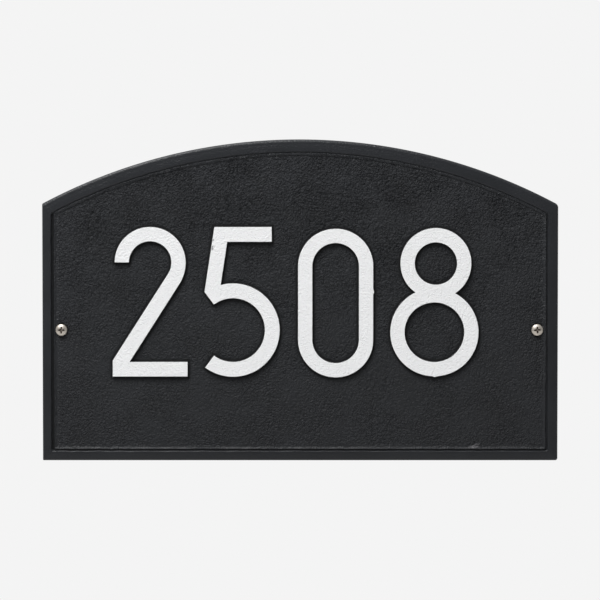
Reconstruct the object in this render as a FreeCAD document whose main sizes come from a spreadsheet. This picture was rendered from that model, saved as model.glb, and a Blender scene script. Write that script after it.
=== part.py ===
import FreeCAD, Part

import math
import os
import re

import Sketcher

# House number plaque: an arched aluminium casting with raised numerals, held to a
# wall by two pan head screws.
#
# Frame, in millimetres: X runs to the right along the plaque, Z runs up, and the face
# looks towards -Y. The back rests on the wall at Y = 0, and the origin lies there,
# midway between the two screws.

# Driving dimensions: name, size in millimetres or degrees, and what it is
SIZES = [
    # The plate, measured from the point midway between the screws
    ("plate_left", 202.4, "left edge, beside the screws' middle"),
    ("plate_right", 203.8, "right edge, beside the screws' middle"),
    ("plate_below", 103.0, "bottom edge, under the screws' line"),
    ("plate_above", 150.0, "crown of the arch, over the screws' line"),
    ("arch_radius", 430.4, "radius of the top edge"),
    ("plate_depth", 8.0, "wall to the face of the border"),
    ("edge_round", 2.0, "rounding of the outer edge and its corners"),
    # The border. Its edge was dressed by hand, so each side has a width of its own
    ("border_left", 7.3, "outer edge to the middle of the groove"),
    ("border_right", 8.7, "outer edge to the middle of the groove"),
    ("border_below", 7.9, "outer edge to the middle of the groove"),
    ("border_above", 10.0, "outer edge to the middle of the groove"),
    ("groove_floor", 0.6, "flat floor of the groove"),
    ("border_slope", 32.0, "lean of the border's inner wall"),
    ("bead_width", 2.3, "foot of the bead inside the groove"),
    ("bead_rise", 0.8, "height of the bead over the field"),
    ("bead_slope", 40.0, "lean of the bead's two sides"),
    ("field_depth", 1.6, "face of the border down to the field"),
    # The hollow back
    ("wall", 3.6, "thickness of the plate behind the field"),
    ("rim_width", 6.5, "width of the rim that rests on the wall"),
    ("back_draft", 5.0, "draft of the hollow's sides"),
    ("boss_radius", 11.0, "boss round each screw hole"),
    # The screws and their holes
    ("screw_inset", 7.7, "middle of the groove to the screw's axis"),
    ("screw_radius", 2.4, "outside radius of the thread"),
    ("neck_radius", 2.1, "radius of the plain neck inside the casting"),
    ("screw_play", 0.25, "clearance round the thread in its hole"),
    ("screw_length", 32.0, "underside of the head to the tip"),
    ("tip_length", 5.0, "taper at the tip"),
    ("head_radius", 4.75, "radius of the head"),
    ("head_height", 3.1, "height of the head"),
    ("crown_radius", 8.0, "dome on top of the head"),
    ("head_side", 0.8, "straight side of the head"),
    ("recess_span", 5.3, "width across the cross recess"),
    ("recess_arm", 1.2, "width of one arm of the recess"),
    ("recess_depth", 1.9, "depth of the recess"),
    ("recess_slope", 12.0, "taper of the recess"),
    ("left_turn", 0.0, "how far the left screw is turned"),
    ("right_turn", 5.0, "how far the right screw is turned"),
    # What all four numerals share
    ("stroke", 11.4, "width of the numerals' strokes"),
    ("numeral_rise", 2.4, "height of the numerals over the field"),
    ("numeral_draft", 9.0, "draft of the numerals' sides"),
    ("numeral_root", 0.6, "how far a numeral is cast into the plate"),
    # The two
    ("two_middle", 117.8, "middle of its bow, left of the screws' middle"),
    ("two_bow", 28.0, "outer radius of its bow"),
    ("two_bow_height", 53.2, "middle of its bow, over the screws' line"),
    ("two_base", 36.7, "foot of its base, under the screws' line"),
    ("two_bar", 11.5, "height of its base bar"),
    ("two_left", 147.3, "left end of the base bar"),
    ("two_right", 88.1, "right end of the base bar"),
    ("two_lean", 57.6, "angle of the diagonal to the base"),
    ("two_diagonal", 11.95, "width of the diagonal"),
    # The five
    ("five_middle", 52.2, "middle of its bowl, left of the screws' middle"),
    ("five_bowl", 36.85, "outer radius of its bowl"),
    ("five_top", 81.2, "top edge, over the middle of the bowl"),
    ("five_bar", 11.8, "height of its top bar"),
    ("five_bar_end", 30.6, "middle of the bowl to the right end of the bar"),
    ("five_corner", 14.6, "middle of the bowl to the top left corner"),
    ("five_opening", 106.4, "angle that the bowl's mouth spans"),
    ("five_beak", 37.5, "middle of the bowl to the tip of the beak"),
    ("five_stem", 11.6, "width of the stem"),
    # The nought
    ("nought_middle", 29.0, "middle, right of the screws' middle"),
    ("nought_half", 29.65, "outer radius of its ends"),
    ("nought_top", 79.8, "top, over the screws' line"),
    ("nought_base", 37.8, "foot, under the screws' line"),
    # The eight
    ("eight_upper_middle", 107.9, "middle of the upper bowl, right of the screws' middle"),
    ("eight_lower_middle", 106.8, "middle of the lower bowl, right of the screws' middle"),
    ("eight_upper", 27.96, "outer radius of the upper bowl"),
    ("eight_lower", 34.97, "outer radius of the lower bowl"),
    ("eight_upper_height", 52.4, "middle of the upper bowl, over the screws' line"),
    ("eight_lower_height", 1.95, "middle of the lower bowl, under the screws' line"),
]

ALIASES = {name for name, size, note in SIZES}

# Levels that several features share, measured from the wall
FIELD_LEVEL = "plate_depth - field_depth"
FACE_LEVEL = "plate_depth - field_depth + numeral_rise"
GROOVE_WALL = "groove_floor / 2"
SCREW_LEFT = "plate_left - border_left - screw_inset"
SCREW_RIGHT = "plate_right - border_right - screw_inset"

# How far a cut runs past the face that it opens, and how near counts as on a level
OVERCUT = 0.5
NEAR = 1e-4

# A sketch's origin and the ends of its edges, as its constraints number them
ORIGIN = (-1, 1)
X_AXIS, Y_AXIS = -1, -2
START, END, CENTRE = 1, 2, 3


doc = FreeCAD.newDocument("house_number_plaque")


def make_sheet():
    """The spreadsheet of driving dimensions, one row for each."""
    sheet = doc.addObject("Spreadsheet::Sheet", "sizes")
    for row, (name, size, note) in enumerate(SIZES, start=1):
        sheet.set(f"A{row}", name)
        sheet.set(f"B{row}", str(size))
        sheet.set(f"C{row}", note)
        sheet.setAlias(f"B{row}", name)
    doc.recompute()
    return sheet


def in_sheet(formula):
    """The same formula with each driving dimension looked up in the sheet."""
    return re.sub(r"[a-z_]+", lambda m: f"sizes.{m[0]}" if m[0] in ALIASES else m[0], formula)


def bind(thing, prop, formula):
    thing.setExpression(prop, in_sheet(formula))


sheet = make_sheet()


def value(formula):
    """A formula's number now, in millimetres or degrees."""
    result = sheet.evalExpression(in_sheet(formula))
    return float(getattr(result, "Value", result))


# Drawing closed outlines


class Outline:
    """A closed line in a sketch, drawn edge by edge and held by dimensions from the sheet."""

    def __init__(self, sketch):
        self.sketch = sketch

    def line(self, start, end):
        edge = Part.LineSegment(FreeCAD.Vector(*start), FreeCAD.Vector(*end))
        return self.sketch.addGeometry(edge, False)

    def arc(self, centre, radius, first, last):
        """An arc drawn anticlockwise from the first angle to the last, in degrees."""
        circle = Part.Circle(FreeCAD.Vector(*centre), FreeCAD.Vector(0, 0, 1), radius)
        arc = Part.ArcOfCircle(circle, math.radians(first), math.radians(last))
        return self.sketch.addGeometry(arc, False)

    def circle(self, centre, radius):
        circle = Part.Circle(FreeCAD.Vector(*centre), FreeCAD.Vector(0, 0, 1), radius)
        return self.sketch.addGeometry(circle, False)

    def hold(self, kind, *ends):
        self.sketch.addConstraint(Sketcher.Constraint(kind, *ends))

    def join(self, *pairs):
        """Each pair is two ends that meet: (edge, end, edge, end)."""
        for pair in pairs:
            self.hold("Coincident", *pair)

    def size(self, kind, formula, *ends):
        """A dimension that follows the sheet."""
        number = value(formula)
        if kind == "Angle":
            number = math.radians(number)
        index = self.sketch.addConstraint(Sketcher.Constraint(kind, *ends, number))
        bind(self.sketch, f"Constraints[{index}]", formula)

    def right_of_origin(self, formula, edge, end):
        self.size("DistanceX", formula, *ORIGIN, edge, end)

    def left_of_origin(self, formula, edge, end):
        self.size("DistanceX", formula, edge, end, *ORIGIN)

    def above_origin(self, formula, edge, end):
        self.size("DistanceY", formula, *ORIGIN, edge, end)

    def below_origin(self, formula, edge, end):
        self.size("DistanceY", formula, edge, end, *ORIGIN)


def new_sketch(body, name, role, level="0"):
    """A sketch on one of the body's own planes, moved along the plane's normal."""
    plane = next(f for f in body.Origin.OriginFeatures if f.Role == role)
    sketch = body.newObject("Sketcher::SketchObject", name)
    sketch.AttachmentSupport = [(plane, "")]
    sketch.MapMode = "FlatFace"
    bind(sketch, "AttachmentOffset.Base.z", level)
    doc.recompute()
    return sketch


def front_sketch(body, name, level="0"):
    """A sketch seen from the front, this far in front of the wall."""
    return new_sketch(body, name, "XZ_Plane", level)


def arched(sketch, inset):
    """The plaque's outline, drawn in from the middle of the groove by the inset.

    A negative inset lies outside the groove."""
    outline = Outline(sketch)
    left = f"plate_left - border_left - ({inset})"
    right = f"plate_right - border_right - ({inset})"
    below = f"plate_below - border_below - ({inset})"
    add_arched_edges(outline, left, right, below, f"arch_radius - border_above - ({inset})")


def add_arched_edges(outline, left, right, below, radius):
    """A flat base, two upright sides and an arch whose centre lies on the middle line."""
    x_left, x_right, z_low, r = -value(left), value(right), -value(below), value(radius)
    z_centre = value("plate_above - arch_radius")
    z_left = z_centre + math.sqrt(r * r - x_left * x_left)
    z_right = z_centre + math.sqrt(r * r - x_right * x_right)
    first = math.degrees(math.atan2(z_right - z_centre, x_right))
    last = math.degrees(math.atan2(z_left - z_centre, x_left))

    base = outline.line((x_left, z_low), (x_right, z_low))
    side_right = outline.line((x_right, z_low), (x_right, z_right))
    arch = outline.arc((0, z_centre), r, first, last)
    side_left = outline.line((x_left, z_left), (x_left, z_low))
    outline.join(
        (base, END, side_right, START),
        (side_right, END, arch, START),
        (arch, END, side_left, START),
        (side_left, END, base, START),
    )
    outline.hold("Horizontal", base)
    outline.hold("Vertical", side_right)
    outline.hold("Vertical", side_left)
    outline.left_of_origin(left, base, START)
    outline.right_of_origin(right, base, END)
    outline.below_origin(below, base, START)
    outline.size("Radius", radius, arch)
    outline.hold("PointOnObject", arch, CENTRE, Y_AXIS)
    outline.below_origin("arch_radius - plate_above", arch, CENTRE)


# The casting


def pad(body, name, sketch, length, taper="0", backwards=False):
    """Material from the sketch towards the front. A taper above nought widens it on the way."""
    feature = body.newObject("PartDesign::Pad", name)
    feature.Profile = sketch
    feature.Reversed = backwards
    bind(feature, "Length", length)
    bind(feature, "TaperAngle", taper)
    doc.recompute()
    return feature


def pocket(body, name, sketch, depth, taper="0", forwards=False):
    """A cut behind the sketch, or in front of it. A taper above nought widens it on the way."""
    feature = body.newObject("PartDesign::Pocket", name)
    feature.Profile = sketch
    feature.Reversed = forwards
    bind(feature, "Length", depth)
    bind(feature, "TaperAngle", taper)
    doc.recompute()
    return feature


def level_edges(feature, level):
    """The names of the edges that lie flat, this far in front of the wall."""
    y = -value(level)
    return [
        f"Edge{i}"
        for i, edge in enumerate(feature.Shape.Edges, start=1)
        if all(abs(corner.Y - y) < NEAR for corner in edge.Vertexes)
    ]


def make_plate(body):
    """The arched blank with its rounded front edge."""
    sketch = front_sketch(body, "plate_outline")
    add_arched_edges(Outline(sketch), "plate_left", "plate_right", "plate_below", "arch_radius")
    plate = pad(body, "plate", sketch, "plate_depth")

    rounded = body.newObject("PartDesign::Fillet", "rounded_edge")
    back = level_edges(plate, "0")
    every = [f"Edge{i + 1}" for i in range(len(plate.Shape.Edges))]
    rounded.Base = (plate, [name for name in every if name not in back])
    bind(rounded, "Radius", "edge_round")
    doc.recompute()


def make_border(body):
    """The sunk field leaves the border standing, and the bead runs inside its groove."""
    field = front_sketch(body, "field_outline", FIELD_LEVEL)
    arched(field, f"-({GROOVE_WALL})")
    pocket(body, "field", field, f"field_depth + {OVERCUT}", "border_slope", forwards=True)

    bead = front_sketch(body, "bead_outline", FIELD_LEVEL)
    arched(bead, GROOVE_WALL)
    arched(bead, f"{GROOVE_WALL} + bead_width")
    pad(body, "bead", bead, "bead_rise", "-bead_slope")


def make_back(body):
    """The hollow behind the field, with a boss left round each screw hole."""
    hollow = front_sketch(body, "hollow_outline")
    draw_rim(hollow)
    pocket(body, "hollow", hollow, f"{FIELD_LEVEL} - wall", "-back_draft", forwards=True)

    bosses = front_sketch(body, "boss_circles")
    draw_pair(Outline(bosses), "boss_radius")
    pad(body, "bosses", bosses, f"{FIELD_LEVEL} - wall / 2")

    holes = front_sketch(body, "hole_circles")
    draw_pair(Outline(holes), "screw_radius + screw_play")
    pocket(body, "screw_holes", holes, "plate_depth", forwards=True)


def draw_rim(sketch):
    add_arched_edges(
        Outline(sketch),
        "plate_left - rim_width",
        "plate_right - rim_width",
        "plate_below - rim_width",
        "arch_radius - rim_width",
    )


def draw_pair(outline, radius):
    """One circle round each screw's axis."""
    r = value(radius)
    left = outline.circle((-value(SCREW_LEFT), 0), r)
    right = outline.circle((value(SCREW_RIGHT), 0), r)
    outline.left_of_origin(SCREW_LEFT, left, CENTRE)
    outline.right_of_origin(SCREW_RIGHT, right, CENTRE)
    for circle in (left, right):
        outline.hold("PointOnObject", circle, CENTRE, X_AXIS)
        outline.size("Radius", radius, circle)


# The numerals


def raise_numeral(body, name, draw):
    """A drafted block behind the outline of a numeral's face."""
    face = front_sketch(body, f"{name}_face", FACE_LEVEL)
    draw(Outline(face))
    pad(body, name, face, "numeral_rise + numeral_root", "numeral_draft", backwards=True)


def polar(centre, radius, angle):
    """The point at this distance and angle, in degrees, from a centre."""
    return (
        centre[0] + radius * math.cos(math.radians(angle)),
        centre[1] + radius * math.sin(math.radians(angle)),
    )


def draw_two(outline):
    """A bow, a diagonal that leaves it on a wider curve, and a base bar."""
    bow, stroke, lean = value("two_bow"), value("stroke"), value("two_lean")
    middle = (-value("two_middle"), value("two_bow_height"))
    left, right = -value("two_left"), -value("two_right")
    foot = -value("two_base")
    bar = foot + value("two_bar")
    inner = bow - stroke

    # The curve into the diagonal has its centre level with the bow's, and this far to its left
    facing = lean - 90
    across = math.cos(math.radians(facing))
    shift = (value("two_diagonal") + inner - bow) / (1 - across)
    shoulder = (middle[0] - shift, middle[1])
    outer_foot = polar(shoulder, bow + shift, facing)
    inner_foot = polar(middle, inner, facing)
    slope = math.tan(math.radians(lean))
    crotch = (outer_foot[0] + (bar - outer_foot[1]) / slope, bar)
    knee = (left, inner_foot[1] + (left - inner_foot[0]) * slope)

    outer = outline.arc(middle, bow, 0, 180)
    turn = outline.arc(shoulder, bow + shift, facing, 0)
    lower = outline.line(outer_foot, crotch)
    bar_top = outline.line(crotch, (right, bar))
    bar_end = outline.line((right, bar), (right, foot))
    base = outline.line((right, foot), (left, foot))
    heel = outline.line((left, foot), knee)
    upper = outline.line(knee, inner_foot)
    inside = outline.arc(middle, inner, facing, 180)
    tip = outline.line(polar(middle, inner, 180), polar(middle, bow, 180))

    outline.hold("Tangent", outer, START, turn, END)
    outline.hold("Tangent", turn, START, lower, START)
    outline.hold("Tangent", upper, END, inside, START)
    outline.join(
        (lower, END, bar_top, START),
        (bar_top, END, bar_end, START),
        (bar_end, END, base, START),
        (base, END, heel, START),
        (heel, END, upper, START),
        (inside, END, tip, START),
        (tip, END, outer, END),
        (inside, CENTRE, outer, CENTRE),
    )
    for edge in (bar_top, base, tip):
        outline.hold("Horizontal", edge)
    for edge in (bar_end, heel):
        outline.hold("Vertical", edge)
    outline.hold("Horizontal", outer, CENTRE, turn, CENTRE)
    outline.hold("Horizontal", outer, CENTRE, outer, END)
    outline.hold("Parallel", lower, upper)
    outline.left_of_origin("two_middle", outer, CENTRE)
    outline.above_origin("two_bow_height", outer, CENTRE)
    outline.size("Radius", "two_bow", outer)
    outline.size("Radius", "two_bow - stroke", inside)
    outline.size("Angle", "two_lean", base, END, upper, START)
    outline.size("Distance", "two_diagonal", turn, START, upper)
    outline.left_of_origin("two_left", heel, START)
    outline.left_of_origin("two_right", bar_end, START)
    outline.below_origin("two_base", base, START)
    outline.size("DistanceY", "two_bar", bar_end, END, bar_end, START)


def draw_five(outline):
    """A top bar, a leaning stem that ends in a beak, and an open bowl."""
    middle = (-value("five_middle"), 0.0)
    bowl, stroke = value("five_bowl"), value("stroke")
    inner = bowl - stroke
    mouth = 180 - value("five_opening") / 2
    top = value("five_top")
    under = top - value("five_bar")
    bar_end = middle[0] + value("five_bar_end")
    corner = (middle[0] - value("five_corner"), top)
    beak = polar(middle, value("five_beak"), mouth)

    # The stem's right side runs beside its left one, down to the bowl
    lean = math.atan2(corner[1] - beak[1], corner[0] - beak[0])
    along = (math.cos(lean), math.sin(lean))
    side = (beak[0] + value("five_stem") * along[1], beak[1] - value("five_stem") * along[0])
    inner_corner = (side[0] + (under - side[1]) * along[0] / along[1], under)
    reach = (side[0] - middle[0], side[1] - middle[1])
    half = reach[0] * along[0] + reach[1] * along[1]
    rest = reach[0] ** 2 + reach[1] ** 2 - bowl**2
    step = -half + math.sqrt(half * half - rest)
    crotch = (side[0] + step * along[0], side[1] + step * along[1])
    crotch_angle = math.degrees(math.atan2(crotch[1] - middle[1], crotch[0] - middle[0]))

    bar_top = outline.line(corner, (bar_end, top))
    end = outline.line((bar_end, top), (bar_end, under))
    bar_under = outline.line((bar_end, under), inner_corner)
    stem_right = outline.line(inner_corner, crotch)
    outside = outline.arc(middle, bowl, -mouth, crotch_angle)
    lip = outline.line(polar(middle, bowl, -mouth), polar(middle, inner, -mouth))
    inside = outline.arc(middle, inner, -mouth, mouth)
    cut = outline.line(polar(middle, inner, mouth), beak)
    stem_left = outline.line(beak, corner)

    outline.join(
        (bar_top, END, end, START),
        (end, END, bar_under, START),
        (bar_under, END, stem_right, START),
        (stem_right, END, outside, END),
        (outside, START, lip, START),
        (lip, END, inside, START),
        (inside, END, cut, START),
        (cut, END, stem_left, START),
        (stem_left, END, bar_top, START),
        (inside, CENTRE, outside, CENTRE),
    )
    outline.hold("Horizontal", bar_top)
    outline.hold("Horizontal", bar_under)
    outline.hold("Vertical", end)
    outline.hold("Parallel", stem_left, stem_right)
    outline.hold("PointOnObject", inside, CENTRE, X_AXIS)
    outline.hold("PointOnObject", inside, CENTRE, cut)
    outline.hold("PointOnObject", inside, CENTRE, lip)
    outline.left_of_origin("five_middle", inside, CENTRE)
    outline.size("Radius", "five_bowl", outside)
    outline.size("Radius", "five_bowl - stroke", inside)
    outline.size("Angle", "five_opening", cut, START, lip, END)
    outline.hold("Symmetric", inside, START, inside, END, X_AXIS)
    outline.above_origin("five_top", bar_top, START)
    outline.size("DistanceY", "five_bar", end, END, end, START)
    outline.size("DistanceX", "five_bar_end", inside, CENTRE, end, START)
    outline.size("DistanceX", "five_corner", bar_top, START, inside, CENTRE)
    outline.size("Distance", "five_beak", inside, CENTRE, cut, END)
    outline.size("Distance", "five_stem", stem_left, START, stem_right)


def draw_nought(outline):
    """Two straight sides between round ends, drawn once outside and once inside."""
    draw_slot(outline, "nought_half", "nought_half")
    draw_slot(outline, "nought_half - stroke", "nought_half")


def draw_slot(outline, radius, end_radius):
    """One closed slot whose ends keep the centres of the outer line's ends."""
    middle, r, full = value("nought_middle"), value(radius), value(end_radius)
    high, low = value("nought_top") - full, -value("nought_base") + full
    crown = outline.arc((middle, high), r, 0, 180)
    left = outline.line((middle - r, high), (middle - r, low))
    foot = outline.arc((middle, low), r, 180, 360)
    right = outline.line((middle + r, low), (middle + r, high))
    outline.hold("Tangent", crown, END, left, START)
    outline.hold("Tangent", left, END, foot, START)
    outline.hold("Tangent", foot, END, right, START)
    outline.hold("Tangent", right, END, crown, START)
    outline.hold("Vertical", left)
    outline.hold("Vertical", right)
    outline.right_of_origin("nought_middle", crown, CENTRE)
    outline.above_origin(f"nought_top - ({end_radius})", crown, CENTRE)
    outline.below_origin(f"nought_base - ({end_radius})", foot, CENTRE)
    outline.size("Radius", radius, crown)


def draw_eight_crown(outline):
    draw_ring(outline, "eight_upper_middle", "eight_upper_height", "eight_upper")


def draw_eight_bowl(outline):
    draw_ring(outline, "eight_lower_middle", "-eight_lower_height", "eight_lower")


def draw_ring(outline, across, up, radius):
    """A circle and the counter inside it, one stroke smaller."""
    middle = (value(across), value(up))
    outer = outline.circle(middle, value(radius))
    counter = outline.circle(middle, value(f"{radius} - stroke"))
    outline.join((counter, CENTRE, outer, CENTRE))
    outline.right_of_origin(across, outer, CENTRE)
    outline.above_origin(up, outer, CENTRE)
    outline.size("Radius", radius, outer)
    outline.size("Radius", f"{radius} - stroke", counter)


def make_casting():
    body = doc.addObject("PartDesign::Body", "plaque_casting")
    body.Label = "plaque_casting"
    make_plate(body)
    make_border(body)
    make_back(body)
    raise_numeral(body, "two", draw_two)
    raise_numeral(body, "five", draw_five)
    raise_numeral(body, "nought", draw_nought)
    raise_numeral(body, "eight_crown", draw_eight_crown)
    raise_numeral(body, "eight_bowl", draw_eight_bowl)
    return body


# The screws, each made along its own Z with the head's underside at nought


def draw_screw(outline):
    """Half the section: a pointed shank, a thinner neck and a domed head with a rounded rim."""
    shank, length = value("screw_radius"), value("screw_length")
    neck, wall_plane = value("neck_radius"), -value(FIELD_LEVEL)
    head, side, top = value("head_radius"), value("head_side"), value("head_height")
    crown = value("crown_radius")
    taper = value("tip_length") - length

    # The rim's round meets the straight side and the dome without a corner
    dome = (0.0, top - crown)
    rise = side - dome[1]
    rim = (crown**2 - head**2 - rise**2) / (2 * (crown - head))
    meeting = math.degrees(math.atan2(rise, head - rim))

    axis = outline.line((0, top), (0, -length))
    tip = outline.line((0, -length), (shank, taper))
    stem = outline.line((shank, taper), (shank, wall_plane))
    step = outline.line((shank, wall_plane), (neck, wall_plane))
    throat = outline.line((neck, wall_plane), (neck, 0))
    seat = outline.line((neck, 0), (head, 0))
    edge = outline.line((head, 0), (head, side))
    round_rim = outline.arc((head - rim, side), rim, 0, meeting)
    cap = outline.arc(dome, crown, meeting, 90)

    outline.join(
        (axis, END, tip, START),
        (tip, END, stem, START),
        (stem, END, step, START),
        (step, END, throat, START),
        (throat, END, seat, START),
        (seat, END, edge, START),
        (cap, END, axis, START),
    )
    outline.hold("Tangent", edge, END, round_rim, START)
    outline.hold("Tangent", round_rim, END, cap, START)
    for upright in (axis, stem, throat, edge):
        outline.hold("Vertical", upright)
    outline.hold("Horizontal", step)
    outline.hold("PointOnObject", axis, START, Y_AXIS)
    outline.hold("PointOnObject", cap, CENTRE, Y_AXIS)
    outline.hold("PointOnObject", seat, START, X_AXIS)
    outline.hold("PointOnObject", seat, END, X_AXIS)
    outline.above_origin("head_height", axis, START)
    outline.below_origin("screw_length", axis, END)
    outline.size("DistanceY", "tip_length", tip, START, tip, END)
    outline.right_of_origin("screw_radius", stem, START)
    outline.below_origin(FIELD_LEVEL, stem, END)
    outline.right_of_origin("neck_radius", throat, START)
    outline.right_of_origin("head_radius", edge, START)
    outline.above_origin("head_side", edge, END)
    outline.size("Radius", "crown_radius", cap)


def draw_cross(outline):
    """Four equal arms, drawn a quarter turn at a time."""
    reach, half = "recess_span / 2", "recess_arm / 2"
    far, near = value(reach), value(half)
    quarter = [(far, -near), (far, near), (near, near)]
    corners = []
    for turn in range(4):
        corners += quarter
        quarter = [(-y, x) for x, y in quarter]
    edges = [outline.line(a, b) for a, b in zip(corners, corners[1:] + corners[:1])]
    for edge, following in zip(edges, edges[1:] + edges[:1]):
        outline.join((edge, END, following, START))
    for index, (edge, (x, y)) in enumerate(zip(edges, corners)):
        upright = index % 2 == 0
        place = x if upright else y
        ends = (*ORIGIN, edge, START) if place > 0 else (edge, START, *ORIGIN)
        outline.hold("Vertical" if upright else "Horizontal", edge)
        outline.size(
            "DistanceX" if upright else "DistanceY",
            reach if abs(place) > near else half,
            *ends,
        )


def make_screw(label, across, turn):
    """A screw whose head bears on the field, its shank through the casting into the wall."""
    body = doc.addObject("PartDesign::Body", label)
    body.Label = label
    section = new_sketch(body, f"{label}_section", "XZ_Plane")
    draw_screw(Outline(section))
    blank = body.newObject("PartDesign::Revolution", f"{label}_blank")
    blank.Profile = section
    blank.ReferenceAxis = (section, ["V_Axis"])
    blank.Angle = 360
    doc.recompute()

    cross = new_sketch(body, f"{label}_cross", "XY_Plane", "head_height")
    draw_cross(Outline(cross))
    pocket(body, f"{label}_recess", cross, "recess_depth", "-recess_slope")

    turned = FreeCAD.Rotation(FreeCAD.Vector(0, 0, 1), value(turn))
    facing = FreeCAD.Rotation(FreeCAD.Vector(1, 0, 0), 90)
    body.Placement = FreeCAD.Placement(FreeCAD.Vector(), facing * turned)
    bind(body, "Placement.Base.x", across)
    bind(body, "Placement.Base.y", f"-({FIELD_LEVEL})")
    return body


def check(parts):
    """Stops if anything failed to build, is loose in its sketch or isn't one good solid."""
    for thing in doc.Objects:
        if {"Invalid", "Error"} & set(thing.State):
            raise RuntimeError(f"{thing.Name} failed to build")
        if thing.TypeId == "Sketcher::SketchObject" and not thing.FullyConstrained:
            raise RuntimeError(f"{thing.Name} isn't fully held by its dimensions")
    for part in parts:
        shape = part.Shape
        if shape.isNull() or not shape.isValid() or len(shape.Solids) != 1:
            raise RuntimeError(f"{part.Label} isn't one valid solid")


parts = [
    make_casting(),
    make_screw("mounting_screw_left", f"-({SCREW_LEFT})", "left_turn"),
    make_screw("mounting_screw_right", SCREW_RIGHT, "right_turn"),
]
doc.recompute()
check(parts)

os.makedirs("parts", exist_ok=True)
for part in parts:
    part.Shape.exportStep(f"parts/{part.Label}.step")
    box = part.Shape.optimalBoundingBox(False)
    print(
        f"{part.Label}: {part.Shape.Volume / 1000:.1f} cm3, "
        f"{box.XLength:.1f} x {box.YLength:.1f} x {box.ZLength:.1f} mm"
    )
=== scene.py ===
import math

import bmesh
import bpy
import numpy as np
from bpy.props import FloatProperty, FloatVectorProperty, IntProperty, PointerProperty
from mathutils import Matrix, Vector, kdtree
from mathutils.geometry import delaunay_2d_cdt


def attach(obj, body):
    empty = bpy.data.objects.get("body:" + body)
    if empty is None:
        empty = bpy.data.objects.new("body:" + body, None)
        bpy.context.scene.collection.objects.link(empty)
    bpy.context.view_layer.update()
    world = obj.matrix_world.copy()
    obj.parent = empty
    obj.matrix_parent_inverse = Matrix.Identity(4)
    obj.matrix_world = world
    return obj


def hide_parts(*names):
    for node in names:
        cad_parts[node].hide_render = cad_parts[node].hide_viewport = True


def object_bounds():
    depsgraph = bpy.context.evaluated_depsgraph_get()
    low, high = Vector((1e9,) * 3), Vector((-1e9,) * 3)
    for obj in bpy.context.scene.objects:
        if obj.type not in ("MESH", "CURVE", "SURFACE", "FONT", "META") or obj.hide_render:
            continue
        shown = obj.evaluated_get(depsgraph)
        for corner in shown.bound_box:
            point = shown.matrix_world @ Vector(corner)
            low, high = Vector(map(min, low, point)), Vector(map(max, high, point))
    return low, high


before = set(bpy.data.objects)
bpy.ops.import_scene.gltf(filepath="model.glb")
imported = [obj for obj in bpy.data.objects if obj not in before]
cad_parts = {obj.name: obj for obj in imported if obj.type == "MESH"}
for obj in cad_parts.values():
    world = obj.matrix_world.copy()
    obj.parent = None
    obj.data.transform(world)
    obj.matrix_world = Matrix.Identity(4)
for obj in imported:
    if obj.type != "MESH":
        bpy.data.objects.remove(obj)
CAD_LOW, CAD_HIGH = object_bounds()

# House number plaque: the looks of a black arched casting with white numerals and its
# two screws. X runs to the right, Z up, the wall is at Y = 0 and the face looks to -Y.

bl_info = {
    "name": "House Number Plaque",
    "version": (1, 0, 0),
    "blender": (4, 5, 0),
    "location": "3D View > Sidebar > Plaque",
    "description": "Builds a cast house number plaque with its paint, its screws and a studio",
    "category": "Object",
}

MM = 0.001
BODY = "root"

# How fine the round edges, outlines and flat faces are drawn
OUTLINE_STEP = 1.7 * MM
BORDER_STEP = 2.2 * MM
PAINT_STEP = 1.3 * MM
HIDDEN_STEP = 4 * MM
BACK_STEP = 6 * MM
CORNER_STEPS = 5
HOLE_STEPS = 28
EDGE_STEPS = 7
HEAD_STEPS = 64

# How near a loop the first points of a honeycomb stand, in steps
HONEYCOMB_MARGIN = 0.62

# Points further from the wall than this belong to the plaque's front
IN_FRONT = 3 * MM


# The sizes and colours that can be set


def length(name, description, default):
    """A size in millimetres, kept in metres."""
    return FloatProperty(
        name=name, description=description, default=default * MM, unit="LENGTH", precision=5
    )


def angle(name, description, default):
    """An angle in degrees, kept in radians."""
    return FloatProperty(
        name=name, description=description, default=math.radians(default), subtype="ANGLE"
    )


def share(name, description, default):
    return FloatProperty(name=name, description=description, default=default, subtype="FACTOR")


def colour(name, description, default):
    return FloatVectorProperty(
        name=name, description=description, default=default, size=3, subtype="COLOR", min=0, max=1
    )


class PlateSizes(bpy.types.PropertyGroup):
    left: length("Left", "Left edge, beside the screws' middle", -CAD_LOW.x / MM)
    right: length("Right", "Right edge, beside the screws' middle", CAD_HIGH.x / MM)
    below: length("Below", "Bottom edge, under the screws' line", -CAD_LOW.z / MM)
    above: length("Above", "Crown of the arch, over the screws' line", CAD_HIGH.z / MM)
    arch_radius: length("Arch Radius", "Radius of the top edge", 430.4)
    depth: length("Depth", "Wall to the face of the border", 8.0)
    edge_round: length("Edge Round", "Rounding of the outer edge", 2.0)
    arch_round: length("Arch Round", "How far the rounding runs inwards along the arch", 3.0)
    left_shoulder: length("Left Shoulder", "Rounding of the corner left of the arch", 1.2)
    right_shoulder: length("Right Shoulder", "Rounding of the corner right of the arch", 3.9)
    left_base: length("Left Base", "Rounding of the lower left corner", 0.8)
    right_base: length("Right Base", "Rounding of the lower right corner", 1.8)
    crown: length("Crown", "How far the border's face falls off towards the edge", 0.45)
    rim_width: length("Rim Width", "Rim that rests on the wall", 6.5)
    hollow_depth: length("Hollow Depth", "Depth of the hollow behind the field", 2.8)
    back_draft: angle("Back Draft", "Draft of the hollow's sides", 5.0)
    boss_radius: length("Boss Radius", "Boss round each screw hole", 11.0)
    boss_fillet: length("Boss Fillet", "Rounding between a boss and the rim", 1.5)
    hole_radius: length("Hole Radius", "Hole for each screw", 2.65)


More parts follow.
